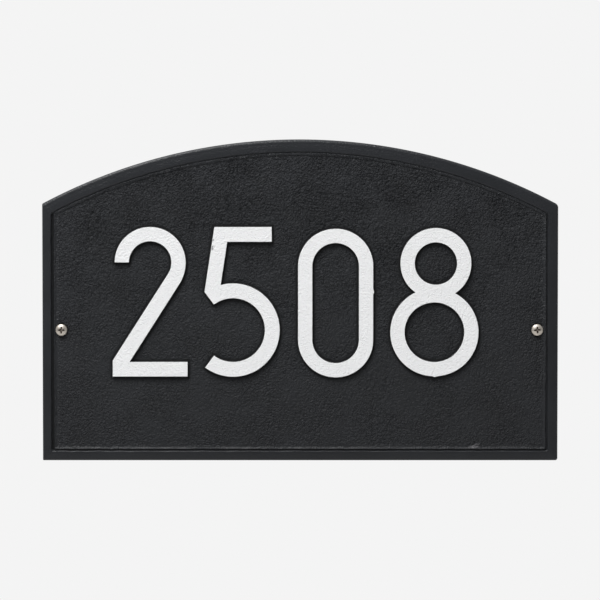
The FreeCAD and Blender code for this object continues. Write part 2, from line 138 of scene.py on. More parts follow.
class BorderSizes(bpy.types.PropertyGroup):
    left: length("Left", "Outer edge to the middle of the groove", 8.25)
    right: length("Right", "Outer edge to the middle of the groove", 8.9)
    below: length("Below", "Outer edge to the middle of the groove", 8.38)
    above: length("Above", "Outer edge to the middle of the groove", 10.3)
    groove_floor: length("Groove Floor", "Flat floor of the groove", 0.8)
    arch_lift: length("Arch Lift", "How much shallower the groove is under the arch", 0.6)
    shoulder_round: length("Shoulder Round", "Rounding of the groove's upper corners", 2.2)
    base_round: length("Base Round", "Rounding of the groove's lower corners", 1.0)
    slope: angle("Slope", "Lean of the border's inner wall", 26.0)
    bead_width: length("Bead Width", "Foot of the bead inside the groove", 2.1)
    bead_rise: length("Bead Rise", "Height of the bead over the field", 0.9)
    bead_outside: angle("Bead Outside", "Lean of the bead's side towards the groove", 24.0)
    bead_inside: angle("Bead Inside", "Lean of the bead's side towards the field", 58.0)
    field_depth: length("Field Depth", "Face of the border down to the field", 1.6)


class NumeralSizes(bpy.types.PropertyGroup):
    stroke: length("Stroke", "Width of the numerals' strokes", 11.4)
    rise: length("Rise", "Height of the numerals over the field", 2.4)
    draft: angle("Draft", "Draft of the numerals' sides", 9.0)
    foot_round: length("Foot Round", "Hollow round where a numeral meets the field", 0.95)
    two_middle: length("Two Middle", "Middle of the bow, left of the screws' middle", 117.3)
    two_bow: length("Two Bow", "Outer radius of the bow", 28.0)
    two_bow_height: length("Two Bow Height", "Middle of the bow, over the screws' line", 53.2)
    two_base: length("Two Base", "Foot of the base, under the screws' line", 36.7)
    two_bar: length("Two Bar", "Height of the base bar", 11.7)
    two_left: length("Two Left", "Left end of the base bar", 147.0)
    two_right: length("Two Right", "Right end of the base bar", 87.9)
    two_lean: angle("Two Lean", "Angle of the diagonal to the base", 57.35)
    two_diagonal: length("Two Diagonal", "Width of the diagonal", 11.95)
    five_middle: length("Five Middle", "Middle of the bowl, left of the screws' middle", 52.2)
    five_bowl: length("Five Bowl", "Outer radius of the bowl", 36.85)
    five_top: length("Five Top", "Top edge, over the middle of the bowl", 81.2)
    five_bar: length("Five Bar", "Height of the top bar", 11.8)
    five_bar_end: length("Five Bar End", "Middle of the bowl to the right end of the bar", 30.6)
    five_corner: length("Five Corner", "Middle of the bowl to the top left corner", 14.6)
    five_opening: angle("Five Opening", "Angle that the bowl's mouth spans", 106.4)
    five_beak: length("Five Beak", "Middle of the bowl to the tip of the beak", 37.5)
    five_stem: length("Five Stem", "Width of the stem", 11.9)
    five_stroke: length("Five Stroke", "Width of the bowl's stroke", 11.85)
    nought_middle: length("Nought Middle", "Middle, right of the screws' middle", 28.6)
    nought_half: length("Nought Half", "Outer radius of the ends", 29.65)
    nought_top: length("Nought Top", "Top, over the screws' line", 79.8)
    nought_base: length("Nought Base", "Foot, under the screws' line", 37.35)
    eight_upper_middle: length("Eight Upper Middle", "Upper bowl, right of the middle", 107.45)
    eight_lower_middle: length("Eight Lower Middle", "Lower bowl, right of the middle", 106.35)
    eight_upper: length("Eight Upper", "Outer radius of the upper bowl", 27.96)
    eight_lower: length("Eight Lower", "Outer radius of the lower bowl", 34.8)
    eight_upper_height: length("Eight Upper Height", "Upper bowl, over the screws' line", 52.4)
    eight_lower_height: length("Eight Lower Height", "Lower bowl, under the screws' line", 1.7)
    paint_thickness: length("Paint Thickness", "White paint on a numeral's face", 0.1)
    paint_margin: length("Paint Margin", "How far the paint stops short of a face's edge", 0.1)
    edge_round: length("Edge Round", "Rounding of a numeral's edge", 0.3)


class GrainSettings(bpy.types.PropertyGroup):
    step: length("Step", "Distance between the points of the field's mesh", 1.24)
    height: length("Height", "Height of the field's grain", 3.1)
    size: length("Size", "Width of one pebble", 1.6)
    patch: length("Patch", "Size of the rougher and smoother patches", 38.0)
    wobble: length("Wobble", "How unevenly the groove and the bead run", 1.1)
    fade: length("Fade", "How far from an edge the grain reaches full height", 1.3)
    seed: IntProperty(name="Seed", description="Which grain is drawn", default=4)


class ScrewSizes(bpy.types.PropertyGroup):
    spacing: length("Spacing", "From one screw's axis to the other's", 374.8)
    thread_radius: length("Thread Radius", "Outside radius of the thread", 2.4)
    core_radius: length("Core Radius", "Radius at the root of the thread", 1.72)
    neck_radius: length("Neck Radius", "Plain neck inside the casting", 2.1)
    pitch: length("Pitch", "Distance from thread to thread", 1.95)
    length: length("Length", "Underside of the head to the tip", 32.0)
    tip_length: length("Tip Length", "Taper at the tip", 5.0)
    head_radius: length("Head Radius", "Radius of the head", 4.7)
    head_height: length("Head Height", "Height of the head", 3.1)
    head_side: length("Head Side", "Straight side of the head", 0.8)
    crown_radius: length("Crown Radius", "Dome on top of the head", 8.0)
    recess_span: length("Recess Span", "Width across the cross recess", 5.5)
    recess_arm: length("Recess Arm", "Width of one arm of the recess", 1.45)
    recess_depth: length("Recess Depth", "Depth of the recess", 1.9)
    recess_slope: angle("Recess Slope", "Taper of the recess", 12.0)
    left_turn: angle("Left Turn", "How far the left screw is turned", 0.0)
    right_turn: angle("Right Turn", "How far the right screw is turned", 5.0)


class FinishSettings(bpy.types.PropertyGroup):
    coating: colour("Coating", "Black coating of the casting", (0.0092, 0.0101, 0.0118))
    paint: colour("Paint", "White paint of the numerals", (0.868, 0.873, 0.88))
    steel: colour("Steel", "Bright steel of the screws", (0.64, 0.59, 0.525))
    border_roughness: share("Border Roughness", "Roughness of the smooth border", 0.4)
    field_roughness: share("Field Roughness", "Roughness of the pebbled field", 0.66)


class StageSettings(bpy.types.PropertyGroup):
    background: share("Background", "Brightness of the background", 0.905)
    ambient: share("Ambient", "Soft light from all round", 0.3)
    front: share("Front", "Brightness of the room in front, as gloss shows it", 0.2)
    lamp_power: FloatProperty(
        name="Lamp", description="Power of the soft lamp above", default=46.0, unit="POWER"
    )
    distance: length("Distance", "Camera to the plaque", 2000.0)
    elevation: angle("Elevation", "Camera above the plaque's level", 2.0)
    photo_width: length("Photo Width", "Width of the picture at the plaque", 472.6)
    floor_drop: length("Floor Drop", "Floor below the screws' line", 450.0)


class PlaqueSettings(bpy.types.PropertyGroup):
    plate: PointerProperty(type=PlateSizes)
    border: PointerProperty(type=BorderSizes)
    numerals: PointerProperty(type=NumeralSizes)
    grain: PointerProperty(type=GrainSettings)
    screws: PointerProperty(type=ScrewSizes)
    finish: PointerProperty(type=FinishSettings)
    stage: PointerProperty(type=StageSettings)


# Node trees


class Term:
    """A number running through a node tree. Arithmetic on it adds Math nodes."""

    def __init__(self, tree, socket):
        self.tree = tree
        self.socket = socket

    def math(self, operation, *others):
        return self.tree.maths(operation, self, *others)

    def __add__(self, other):
        return self.math("ADD", other)

    def __sub__(self, other):
        return self.math("SUBTRACT", other)

    def __mul__(self, other):
        return self.math("MULTIPLY", other)

    def __truediv__(self, other):
        return self.math("DIVIDE", other)

    def __rsub__(self, other):
        return self.tree.maths("SUBTRACT", other, self)

    def __rtruediv__(self, other):
        return self.tree.maths("DIVIDE", other, self)

    __radd__ = __add__
    __rmul__ = __mul__

    def clamped(self, low=0.0, high=1.0):
        return self.math("MAXIMUM", low).math("MINIMUM", high)


class Outputs:
    """What a node gives, by the name or number of its socket."""

    def __init__(self, tree, node):
        self.tree = tree
        self.node = node

    def __getitem__(self, key):
        return Term(self.tree, self.node.outputs[key])


class Tree:
    """A shader or geometry tree that is built node by node."""

    def __init__(self, tree):
        self.tree = tree

    def add(self, kind, settings=None, sockets=None):
        """One node: its settings first, then a value or a link for each named socket."""
        node = self.tree.nodes.new(kind)
        for name, value in (settings or {}).items():
            setattr(node, name, value)
        for key, value in (sockets or {}).items():
            if isinstance(value, Term):
                self.tree.links.new(value.socket, node.inputs[key])
            else:
                node.inputs[key].default_value = value
        return Outputs(self, node)

    def maths(self, operation, *values):
        sockets = dict(enumerate(values))
        return self.add("ShaderNodeMath", {"operation": operation}, sockets)["Value"]

    def vector(self, operation, first, second):
        sockets = {0: first, 1: second}
        return self.add("ShaderNodeVectorMath", {"operation": operation}, sockets)[0]

    def noise(self, place, size, seed=0.0, detail=2.0, rough=0.5):
        """Cloudy noise from nought to one whose lumps are about this size."""
        settings = {"noise_dimensions": "4D"}
        sockets = {"Vector": place, "W": seed, "Scale": 1 / size, "Detail": detail, "Roughness": rough}
        return self.add("ShaderNodeTexNoise", settings, sockets)[0]

    def mark(self, name):
        """A mark that was drawn on the mesh."""
        return self.add("ShaderNodeAttribute", {"attribute_name": name})["Fac"]

    def blend(self, factor, first, second):
        """A colour between two others."""
        settings = {"data_type": "RGBA"}
        return self.add("ShaderNodeMix", settings, {0: factor, 6: first, 7: second})[2]


def leather(tree, place, size, seed):
    """A pebbled skin about nought: domed lumps with folds and hollows running between them."""
    warp = tree.add(
        "ShaderNodeTexNoise",
        {"noise_dimensions": "4D"},
        {"Vector": place, "W": seed + 7.0, "Scale": 0.45 / size, "Detail": 2.0},
    )["Color"]
    shift = tree.add("ShaderNodeVectorMath", {"operation": "SCALE"}, {0: warp, "Scale": 1.8 * size})[0]
    bent = tree.vector("ADD", place, shift)
    lumps = tree.add(
        "ShaderNodeTexVoronoi",
        {"voronoi_dimensions": "3D", "feature": "SMOOTH_F1"},
        {"Vector": bent, "Scale": 1 / size, "Smoothness": 0.6},
    )["Distance"]
    worms = tree.noise(bent, 0.85 * size, seed, 1.0) - 0.5
    return (0.5 - lumps) * 0.45 + worms * 1.1


def new_material(name):
    """An empty material, its node tree ready to be built."""
    material = bpy.data.materials.new(name)
    material.use_nodes = True
    material.node_tree.nodes.clear()
    return material, Tree(material.node_tree)


def shade_of(colour, strength=1.0):
    """A colour as a node wants it, made paler or darker."""
    return tuple(min(1.0, part * strength) for part in colour) + (1.0,)


def finish_material(tree, shader):
    tree.add("ShaderNodeOutputMaterial", None, {"Surface": shader})


def new_geometry_tree(name, inputs):
    """A geometry tree with named inputs, each a (name, kind) pair, and its input node."""
    group = bpy.data.node_groups.new(name, "GeometryNodeTree")
    group.interface.new_socket("Geometry", in_out="INPUT", socket_type="NodeSocketGeometry")
    for label, kind in inputs:
        group.interface.new_socket(label, in_out="INPUT", socket_type=kind)
    group.interface.new_socket("Geometry", in_out="OUTPUT", socket_type="NodeSocketGeometry")
    tree = Tree(group)
    return group, tree, tree.add("NodeGroupInput")


def finish_geometry(tree, geometry, material):
    """The end of every geometry tree: instances made real, then the material."""
    real = tree.add("GeometryNodeRealizeInstances", None, {"Geometry": geometry})["Geometry"]
    sockets = {"Geometry": real, "Material": material}
    painted = tree.add("GeometryNodeSetMaterial", None, sockets)["Geometry"]
    tree.add("NodeGroupOutput", None, {"Geometry": painted})


def run_geometry_tree(obj, group, values):
    """Runs the tree on the object and keeps the result as its plain mesh."""
    modifier = obj.modifiers.new(group.name, "NODES")
    modifier.node_group = group
    for item in group.interface.items_tree:
        if item.in_out == "INPUT" and item.name in values:
            modifier[item.identifier] = values[item.name]
    graph = bpy.context.evaluated_depsgraph_get()
    made = bpy.data.meshes.new_from_object(
        obj.evaluated_get(graph), preserve_all_data_layers=True, depsgraph=graph
    )
    obj.modifiers.remove(modifier)
    obj.data = made


# Outlines in the plaque's plane, as arrays of (x, z) points


def polar(centre, radius, turn):
    return (centre[0] + radius * math.cos(turn), centre[1] + radius * math.sin(turn))


def stations(span, clear):
    """Shares of an edge at which it gets points, its end left out.

    clear is a stretch at each end that is kept free of points, beside an inner corner."""
    start, end = clear
    middle = span - start - end
    count = max(1, round(middle / OUTLINE_STEP))
    inner = [start + middle * k / count for k in range(count + (1 if end else 0))]
    if start:
        inner = [0.0] + inner
    return [place / span for place in inner]


class Outline:
    """A closed line that is drawn edge by edge."""

    def __init__(self):
        self.points = []

    def line(self, start, end, clear=(0, 0)):
        span = math.dist(start, end)
        for t in stations(span, clear):
            self.points.append((start[0] + (end[0] - start[0]) * t, start[1] + (end[1] - start[1]) * t))

    def arc(self, centre, radius, first, last, clear=(0, 0)):
        """Turns from the first angle to the last, either way round."""
        span = abs(last - first) * radius
        for t in stations(span, clear):
            self.points.append(polar(centre, radius, first + (last - first) * t))

    def done(self):
        return np.array(self.points)


def grown(outline, distance):
    """The outline moved outwards, its corners kept sharp. Outwards is to the right of its run."""
    before = outline - np.roll(outline, 1, axis=0)
    after = np.roll(outline, -1, axis=0) - outline
    before /= np.linalg.norm(before, axis=1)[:, None]
    after /= np.linalg.norm(after, axis=1)[:, None]
    first = np.stack([before[:, 1], -before[:, 0]], axis=1)
    second = np.stack([after[:, 1], -after[:, 0]], axis=1)
    even = 1 + np.sum(first * second, axis=1)
    return outline + (first + second) * (distance / even)[:, None]


def with_nub(outline, place, height):
    """The outline with a small nub at the point that lies nearest to a place."""
    near = int(np.argmin(np.linalg.norm(outline - place, axis=1)))
    count = len(outline)
    run = outline[(near + 1) % count] - outline[near - 1]
    out = np.array([run[1], -run[0]]) / np.linalg.norm(run)
    changed = outline.copy()
    changed[near] += out * height
    changed[(near + 1) % count] += out * height * 0.35
    return changed


def circle(centre, radius, steps):
    turns = np.arange(steps) * 2 * math.pi / steps
    return np.stack([centre[0] + radius * np.cos(turns), centre[1] + radius * np.sin(turns)], axis=1)


# Small nubs at the edges of two numerals
NOUGHT_NUB = (58.6 * MM, 29.7 * MM)
EIGHT_NUB = (105.8 * MM, -37.4 * MM)
NUB_HEIGHT = 0.8 * MM

# A flaw of the casting beside the lower bead: two curled ridges, through (x, z) in millimetres,
# with a width and a height, in a spot where the mesh is finer
CURL_MIDDLE = (138.6 * MM, -91.6 * MM)
CURL_REACH = 5.5 * MM
CURL_STEP = 0.42 * MM
CURL_WIDTH = 0.55 * MM
CURL_HEIGHT = 0.5 * MM
CURLS = (
    ((134.7, -93.2), (136.7, -92.3), (137.9, -91.5), (139.8, -90.4), (141.8, -90.1)),
    ((136.7, -93.3), (138.7, -92.6), (140.8, -92.2)),
)

# Stretch beside an inner corner that stays free of points, so that rings grown from it don't cross
CORNER_CLEAR = 3.6 * MM


def two_outlines(sizes):
    """A bow, a diagonal that leaves it on a wider curve, and a base bar."""
    bow, inner = sizes.two_bow, sizes.two_bow - sizes.stroke
    middle = (-sizes.two_middle, sizes.two_bow_height)
    left, right, foot = -sizes.two_left, -sizes.two_right, -sizes.two_base
    bar = foot + sizes.two_bar
    facing = sizes.two_lean - math.pi / 2
    shift = (sizes.two_diagonal + inner - bow) / (1 - math.cos(facing))
    shoulder = (middle[0] - shift, middle[1])
    outer_foot = polar(shoulder, bow + shift, facing)
    inner_foot = polar(middle, inner, facing)
    slope = math.tan(sizes.two_lean)
    crotch = (outer_foot[0] + (bar - outer_foot[1]) / slope, bar)
    knee = (left, inner_foot[1] + (left - inner_foot[0]) * slope)

    outline = Outline()
    outline.arc(middle, bow, 0, math.pi)
    outline.line(polar(middle, bow, math.pi), polar(middle, inner, math.pi))
    outline.arc(middle, inner, math.pi, facing)
    outline.line(inner_foot, knee)
    outline.line(knee, (left, foot))
    outline.line((left, foot), (right, foot))
    outline.line((right, foot), (right, bar))
    outline.line((right, bar), crotch, (0, CORNER_CLEAR))
    outline.line(crotch, outer_foot, (CORNER_CLEAR, 0))
    outline.arc(shoulder, bow + shift, facing, 0)
    return [outline.done()]


def five_outlines(sizes):
    """A top bar, a leaning stem that ends in a beak, and an open bowl."""
    middle = (-sizes.five_middle, 0.0)
    bowl, inner = sizes.five_bowl, sizes.five_bowl - sizes.five_stroke
    mouth = math.pi - sizes.five_opening / 2
    top, under = sizes.five_top, sizes.five_top - sizes.five_bar
    bar_end = middle[0] + sizes.five_bar_end
    corner = (middle[0] - sizes.five_corner, top)
    beak = polar(middle, sizes.five_beak, mouth)

    # The stem's right side runs beside its left one, down to the bowl
    lean = math.atan2(corner[1] - beak[1], corner[0] - beak[0])
    along = (math.cos(lean), math.sin(lean))
    side = (beak[0] + sizes.five_stem * along[1], beak[1] - sizes.five_stem * along[0])
    inner_corner = (side[0] + (under - side[1]) * along[0] / along[1], under)
    reach = (side[0] - middle[0], side[1] - middle[1])
    half = reach[0] * along[0] + reach[1] * along[1]
    rest = reach[0] ** 2 + reach[1] ** 2 - bowl**2
    step = -half + math.sqrt(half * half - rest)
    crotch = (side[0] + step * along[0], side[1] + step * along[1])
    crotch_turn = math.atan2(crotch[1] - middle[1], crotch[0] - middle[0])

    outline = Outline()
    outline.line(corner, beak)
    outline.line(beak, polar(middle, inner, mouth))
    outline.arc(middle, inner, mouth, -mouth)
    outline.line(polar(middle, inner, -mouth), polar(middle, bowl, -mouth))
    outline.arc(middle, bowl, -mouth, crotch_turn, (0, CORNER_CLEAR))
    outline.line(crotch, inner_corner, (CORNER_CLEAR, CORNER_CLEAR))
    outline.line(inner_corner, (bar_end, under), (CORNER_CLEAR, 0))
    outline.line((bar_end, under), (bar_end, top))
    outline.line((bar_end, top), corner)
    return [outline.done()]


def nought_outlines(sizes):
    """Two straight sides between round ends, outside and inside."""
    full = sizes.nought_half
    high = (sizes.nought_middle, sizes.nought_top - full)
    low = (sizes.nought_middle, -sizes.nought_base + full)
    outer = with_nub(slot_outline(high, low, full), NOUGHT_NUB, NUB_HEIGHT)
    return [outer, slot_outline(high, low, full - sizes.stroke)[::-1]]


def slot_outline(high, low, radius):
    outline = Outline()
    outline.arc(high, radius, 0, math.pi)
    outline.line(polar(high, radius, math.pi), polar(low, radius, math.pi))
    outline.arc(low, radius, math.pi, 2 * math.pi)
    outline.line(polar(low, radius, 0), polar(high, radius, 0))
    return outline.done()


def eight_outlines(sizes):
    """Two rings that overlap at the waist, and the counter inside each."""
    upper = (sizes.eight_upper_middle, sizes.eight_upper_height)
    lower = (sizes.eight_lower_middle, -sizes.eight_lower_height)
    crown, bowl = sizes.eight_upper, sizes.eight_lower

    # Where the two rings' outer circles cross, seen from each of their middles
    apart = math.dist(upper, lower)
    rise = math.atan2(upper[1] - lower[1], upper[0] - lower[0])
    spread_low = math.acos((bowl**2 + apart**2 - crown**2) / (2 * bowl * apart))
    spread_high = math.acos((crown**2 + apart**2 - bowl**2) / (2 * crown * apart))

    outer = Outline()
    down = rise + math.pi
    clear = (CORNER_CLEAR, CORNER_CLEAR)
    outer.arc(upper, crown, down + spread_high, down + 2 * math.pi - spread_high, clear)
    outer.arc(lower, bowl, rise + spread_low, rise + 2 * math.pi - spread_low, clear)
    counters = []
    for middle, radius in ((upper, crown - sizes.stroke), (lower, bowl - sizes.stroke)):
        steps = round(2 * math.pi * radius / OUTLINE_STEP)
        counters.append(circle(middle, radius, steps)[::-1])
    return [with_nub(outer.done(), EIGHT_NUB, NUB_HEIGHT * 0.8)] + counters


NUMERALS = {
    "two": two_outlines,
    "five": five_outlines,
    "nought": nought_outlines,
    "eight": eight_outlines,
}


def arched_ring(plate, insets, corners):
    """The arched outline, drawn anticlockwise from its lower left corner.

    insets are how far its left, right, lower and upper sides lie inside the outer edge,
    corners the radii at the lower right, upper right, upper left and lower left."""
    left, right, below, above = insets
    x_left, x_right, z_low = -plate.left + left, plate.right - right, -plate.below + below
    radius = plate.arch_radius - above
    middle = (0.0, plate.above - plate.arch_radius)
    base_right, top_right, top_left, base_left = corners

    def shoulder(x, corner):
        return (x, middle[1] + math.sqrt((radius - corner) ** 2 - x * x))

    high_right = shoulder(x_right - top_right, top_right)
    high_left = shoulder(x_left + top_left, top_left)
    low_right = (x_right - base_right, z_low + base_right)
    low_left = (x_left + base_left, z_low + base_left)
    turn_right = math.atan2(high_right[1] - middle[1], high_right[0])
    turn_left = math.atan2(high_left[1] - middle[1], high_left[0])
    quarter = math.pi / 2

    # Each side keeps its number of points at every inset, so that rings can be joined
    along_base = round((plate.left + plate.right) / BORDER_STEP)
    along_side = round((plate.below + plate.above * 0.6) / BORDER_STEP)
    along_arch = round((plate.left + plate.right) * 1.05 / BORDER_STEP)
    points = []

    def straight(start, end, count):
        for k in range(count):
            points.append(tuple(a + (b - a) * k / count for a, b in zip(start, end)))

    def bend(centre, size, first, last, count):
        for k in range(count):
            points.append(polar(centre, size, first + (last - first) * k / count))

    base = (polar(low_left, base_left, -quarter), polar(low_right, base_right, -quarter))
    side_right = (polar(low_right, base_right, 0), polar(high_right, top_right, 0))
    side_left = (polar(high_left, top_left, math.pi), polar(low_left, base_left, math.pi))
    straight(*base, along_base)
    bend(low_right, base_right, -quarter, 0, CORNER_STEPS)
    straight(*side_right, along_side)
    bend(high_right, top_right, 0, turn_right, CORNER_STEPS)
    bend(middle, radius, turn_right, turn_left, along_arch)
    bend(high_left, top_left, turn_left, math.pi, CORNER_STEPS)
    straight(*side_left, along_side)
    bend(low_left, base_left, math.pi, 3 * quarter, CORNER_STEPS)
    return np.array(points)


def hollow_outline(plate, screws_at, inset):
    """The edge of the hollow back, which passes round the boss at each end."""
    x_left, x_right = -plate.left + inset, plate.right - inset
    z_low, radius = -plate.below + inset, plate.arch_radius - inset
    middle = (0.0, plate.above - plate.arch_radius)
    z_left = middle[1] + math.sqrt(radius**2 - x_left**2)
    z_right = middle[1] + math.sqrt(radius**2 - x_right**2)
    outline = Outline()
    outline.line((x_left, z_low), (x_right, z_low))
    boss = (plate.boss_radius, plate.boss_fillet)
    add_boss_side(outline, x_right, z_low, z_right, screws_at[1], *boss)
    turn_right = math.atan2(z_right - middle[1], x_right)
    turn_left = math.atan2(z_left - middle[1], x_left)
    outline.arc(middle, radius, turn_right, turn_left)
    add_boss_side(outline, x_left, z_left, z_low, screws_at[0], *boss)
    return outline.done()


def add_boss_side(outline, x, start, end, screw, radius, fillet):
    """An upright side from one height to the other, with the boss let into it."""
    side = math.copysign(1.0, x - screw)
    base = 0.0 if side > 0 else math.pi
    out = abs(x - screw) - fillet
    up = math.sqrt((radius + fillet) ** 2 - out * out)
    turn = math.atan2(up, out)
    first, last = (screw + side * out, -side * up), (screw + side * out, side * up)
    outline.line((x, start), (x, first[1]))
    outline.arc(first, fillet, base, base + math.pi - turn)
    outline.arc((screw, 0.0), radius, base + 2 * math.pi - turn, base + turn)
    outline.arc(last, fillet, base + turn - math.pi, base)
    outline.line((x, last[1]), (x, end))


# Sections: (distance outwards or inwards, level in front of the wall)


def rounded(corners, steps=4):
    """The points of a section given as (distance, level, rounding) corners."""
    points = []
    for index, (x, y, rounding) in enumerate(corners):
        if not rounding:
            points.append((x, y))
            continue
        corner = Vector((x, y))
        before = (Vector(corners[index - 1][:2]) - corner).normalized() * rounding
        after = (Vector(corners[index + 1][:2]) - corner).normalized() * rounding
        for k in range(steps + 1):
            t = k / steps
            points.append(tuple(corner + before * (1 - t) ** 2 + after * t**2))
    return points


# A mesh being drawn


class Draft:
    """Points, faces and marks of a mesh that is drawn ring by ring."""

    def __init__(self, *marks):
        self.rows = []
        self.marks = {name: [] for name in marks}
        self.faces = []
        self.count = 0

    def add(self, outline, level, **marks):
        """Puts points of the plane at a level in front of the wall and gives their numbers."""
        size = len(outline)
        levels = np.broadcast_to(-np.asarray(level, float), size)
        self.rows.append(np.stack([outline[:, 0], levels, outline[:, 1]], axis=1))
        for name, values in self.marks.items():
            values.append(np.broadcast_to(np.asarray(marks.get(name, 0.0), float), size))
        numbers = np.arange(self.count, self.count + size)
        self.count += size
        return numbers

    def join(self, first, second):
        """A strip of faces between two rings with as many points."""
        for a, b, c, d in zip(first, np.roll(first, -1), np.roll(second, -1), second):
            self.faces.append((int(a), int(b), int(c), int(d)))

    def rings(self, rings):
        for first, second in zip(rings, rings[1:]):
            self.join(first, second)

    def fill(self, loops, level, step=None, marks=None, finer_at=None):
        """Triangles between the loops, with a honeycomb of points a step apart inside them.

        marks are the points' marks, or a function that gives them for an array of points, and
        finer_at is a (place, reach, step) where the points stand closer."""
        edge = np.concatenate([self.flat(loop) for loop in loops])
        edges = []
        start = 0
        for loop in loops:
            edges += [(start + k, start + (k + 1) % len(loop)) for k in range(len(loop))]
            start += len(loop)
        numbers = np.concatenate(loops)
        points = edge
        if step:
            inner = self.honeycomb([self.flat(loop) for loop in loops], step, HONEYCOMB_MARGIN)
            if finer_at:
                place, reach, fine = finer_at
                close = self.honeycomb([self.flat(loop) for loop in loops], fine, 1.0)
                close = close[np.linalg.norm(close - place, axis=1) < reach]
                inner = inner[np.linalg.norm(inner - place, axis=1) > reach + fine / 2]
                inner = np.concatenate([inner, close])
            values = marks(inner) if callable(marks) else marks or {}
            numbers = np.concatenate([numbers, self.add(inner, level, **values)])
            points = np.concatenate([edge, inner])
        made = delaunay_2d_cdt([Vector(p) for p in points], edges, [], 0, 1e-8, False)
        if len(made[0]) != len(points):
            raise RuntimeError("two points of an outline lie on each other")
        triangles = np.array([face for face in made[2]])
        on_edge = np.all(triangles < len(edge), axis=1)
        middles = points[triangles].mean(axis=1)
        wanted = np.ones(len(triangles), bool)
        wanted[on_edge] = inside([self.flat(loop) for loop in loops], middles[on_edge])
        self.faces += [tuple(int(numbers[k]) for k in face) for face in triangles[wanted]]

    def raise_ridge(self, path, width, height):
        """Lifts the front of the mesh into a narrow ridge along a path of (x, z) points, marked for a
        painted highlight.
        """
        for index, row in enumerate(self.rows):
            spots = row[:, [0, 2]]
            away = np.full(len(spots), 1.0)
            for start, end in zip(path, path[1:]):
                run = end - start
                along = np.clip((spots - start) @ run / (run @ run), 0, 1)
                away = np.minimum(away, np.linalg.norm(spots - start - along[:, None] * run, axis=1))
            lift = np.exp(-((away / width) ** 2)) * (row[:, 1] < -IN_FRONT)
            row[:, 1] -= height * lift
            self.marks["ridge_highlight"][index] = np.maximum(self.marks["ridge_highlight"][index], lift)

    def flat(self, loop):
        """The (x, z) places of a ring's points."""
        rows = np.concatenate(self.rows)
        return rows[loop][:, [0, 2]]

    def honeycomb(self, loops, step, margin):
        low = np.min([loop.min(axis=0) for loop in loops], axis=0)
        high = np.max([loop.max(axis=0) for loop in loops], axis=0)
        rows = np.arange(low[1], high[1], step * math.sqrt(3) / 2)
        columns = np.arange(low[0], high[0], step)
        grid = np.stack(np.meshgrid(columns, rows), axis=2)
        grid[1::2, :, 0] += step / 2
        points = grid.reshape(-1, 2)
        points = points[inside(loops, points)]
        return points[nearness(loops, points) > margin * step]

    def build(self, name, sharp=math.radians(38)):
        """The finished mesh as an object at the origin."""
        mesh = bpy.data.meshes.new(name)
        mesh.from_pydata(np.concatenate(self.rows).tolist(), [], self.faces)
        for mark, values in self.marks.items():
            attribute = mesh.attributes.new(mark, "FLOAT", "POINT")
            attribute.data.foreach_set("value", np.concatenate(values).astype(np.float32))
        face_outwards(mesh)
        mesh.shade_smooth()
        mesh.set_sharp_from_angle(angle=sharp)
        return link_object(name, mesh)


def face_outwards(mesh):
    shape = bmesh.new()
    shape.from_mesh(mesh)
    bmesh.ops.recalc_face_normals(shape, faces=shape.faces)
    shape.to_mesh(mesh)
    shape.free()


def link_object(name, mesh):
    obj = bpy.data.objects.new(name, mesh)
    bpy.context.scene.collection.objects.link(obj)
    return obj


def inside(loops, points):
    """Which points lie inside an odd number of loops."""
    odd = np.zeros(len(points), bool)
    for loop in loops:
        low, high = loop.min(axis=0), loop.max(axis=0)
        near = np.flatnonzero(np.all((points >= low) & (points <= high), axis=1))
        x, z = points[near, 0], points[near, 1]
        crossed = np.zeros(len(near), bool)
        for (x0, z0), (x1, z1) in zip(loop, np.roll(loop, -1, axis=0)):
            if z0 != z1:
                spans = (z0 > z) != (z1 > z)
                crossed ^= spans & (x < x0 + (z - z0) * (x1 - x0) / (z1 - z0))
        odd[near[crossed]] ^= True
    return odd


def nearness(loops, points, reach=6 * MM, dense=0.4 * MM):
    """How far each point lies from the nearest loop, up to a reach."""
    spots = []
    for loop in loops:
        for start, end in zip(loop, np.roll(loop, -1, axis=0)):
            count = max(1, int(np.linalg.norm(end - start) / dense))
            spots += [start + (end - start) * k / count for k in range(count)]
    tree = kdtree.KDTree(len(spots))
    for index, spot in enumerate(spots):
        tree.insert((spot[0], spot[1], 0.0), index)
    tree.balance()
    return np.array([min(tree.find((x, z, 0.0))[2], reach) for x, z in points])


def smooth_step(values):
    t = np.clip(values, 0, 1)
    return t * t * (3 - 2 * t)


# The casting


def levels_of(settings):
    """Levels in front of the wall: the border's face, the field and the numerals' faces."""
    face = settings.plate.depth
    field = face - settings.border.field_depth
    return face, field, field + settings.numerals.rise


def screw_places(settings):
    half = settings.screws.spacing / 2
    return (-half, half)


# Share of the field's grain on the smoother places
GRAIN_ON_BEAD = 0.35
GRAIN_ON_BORDER = 0.07
GRAIN_ON_NUMERALS = 0.05

SMALLEST_CORNER = 0.45 * MM

# How far the paint reaches into the numeral under it
PAINT_OVERLAP = 0.02 * MM

# Width of the groove's floor on the left, right, lower and upper side, as shares of the named width
FLOOR_WIDTHS = (2.0, 0.9, 0.75, 0.5)

# Margins of flat border face and of flat field that are drawn with the groove and the bead
FLAT_MARGIN = 0.8 * MM
CREST_ROUND = 0.6 * MM


def edge_ring(plate, inset):
    """The outer edge moved inwards, further along the arch than on the other sides."""
    radii = (plate.right_base, plate.right_shoulder, plate.left_shoulder, plate.left_base)
    insets = (inset, inset, inset, inset * plate.arch_round / plate.edge_round)
    return arched_ring(plate, insets, [max(r - inset, SMALLEST_CORNER) for r in radii])


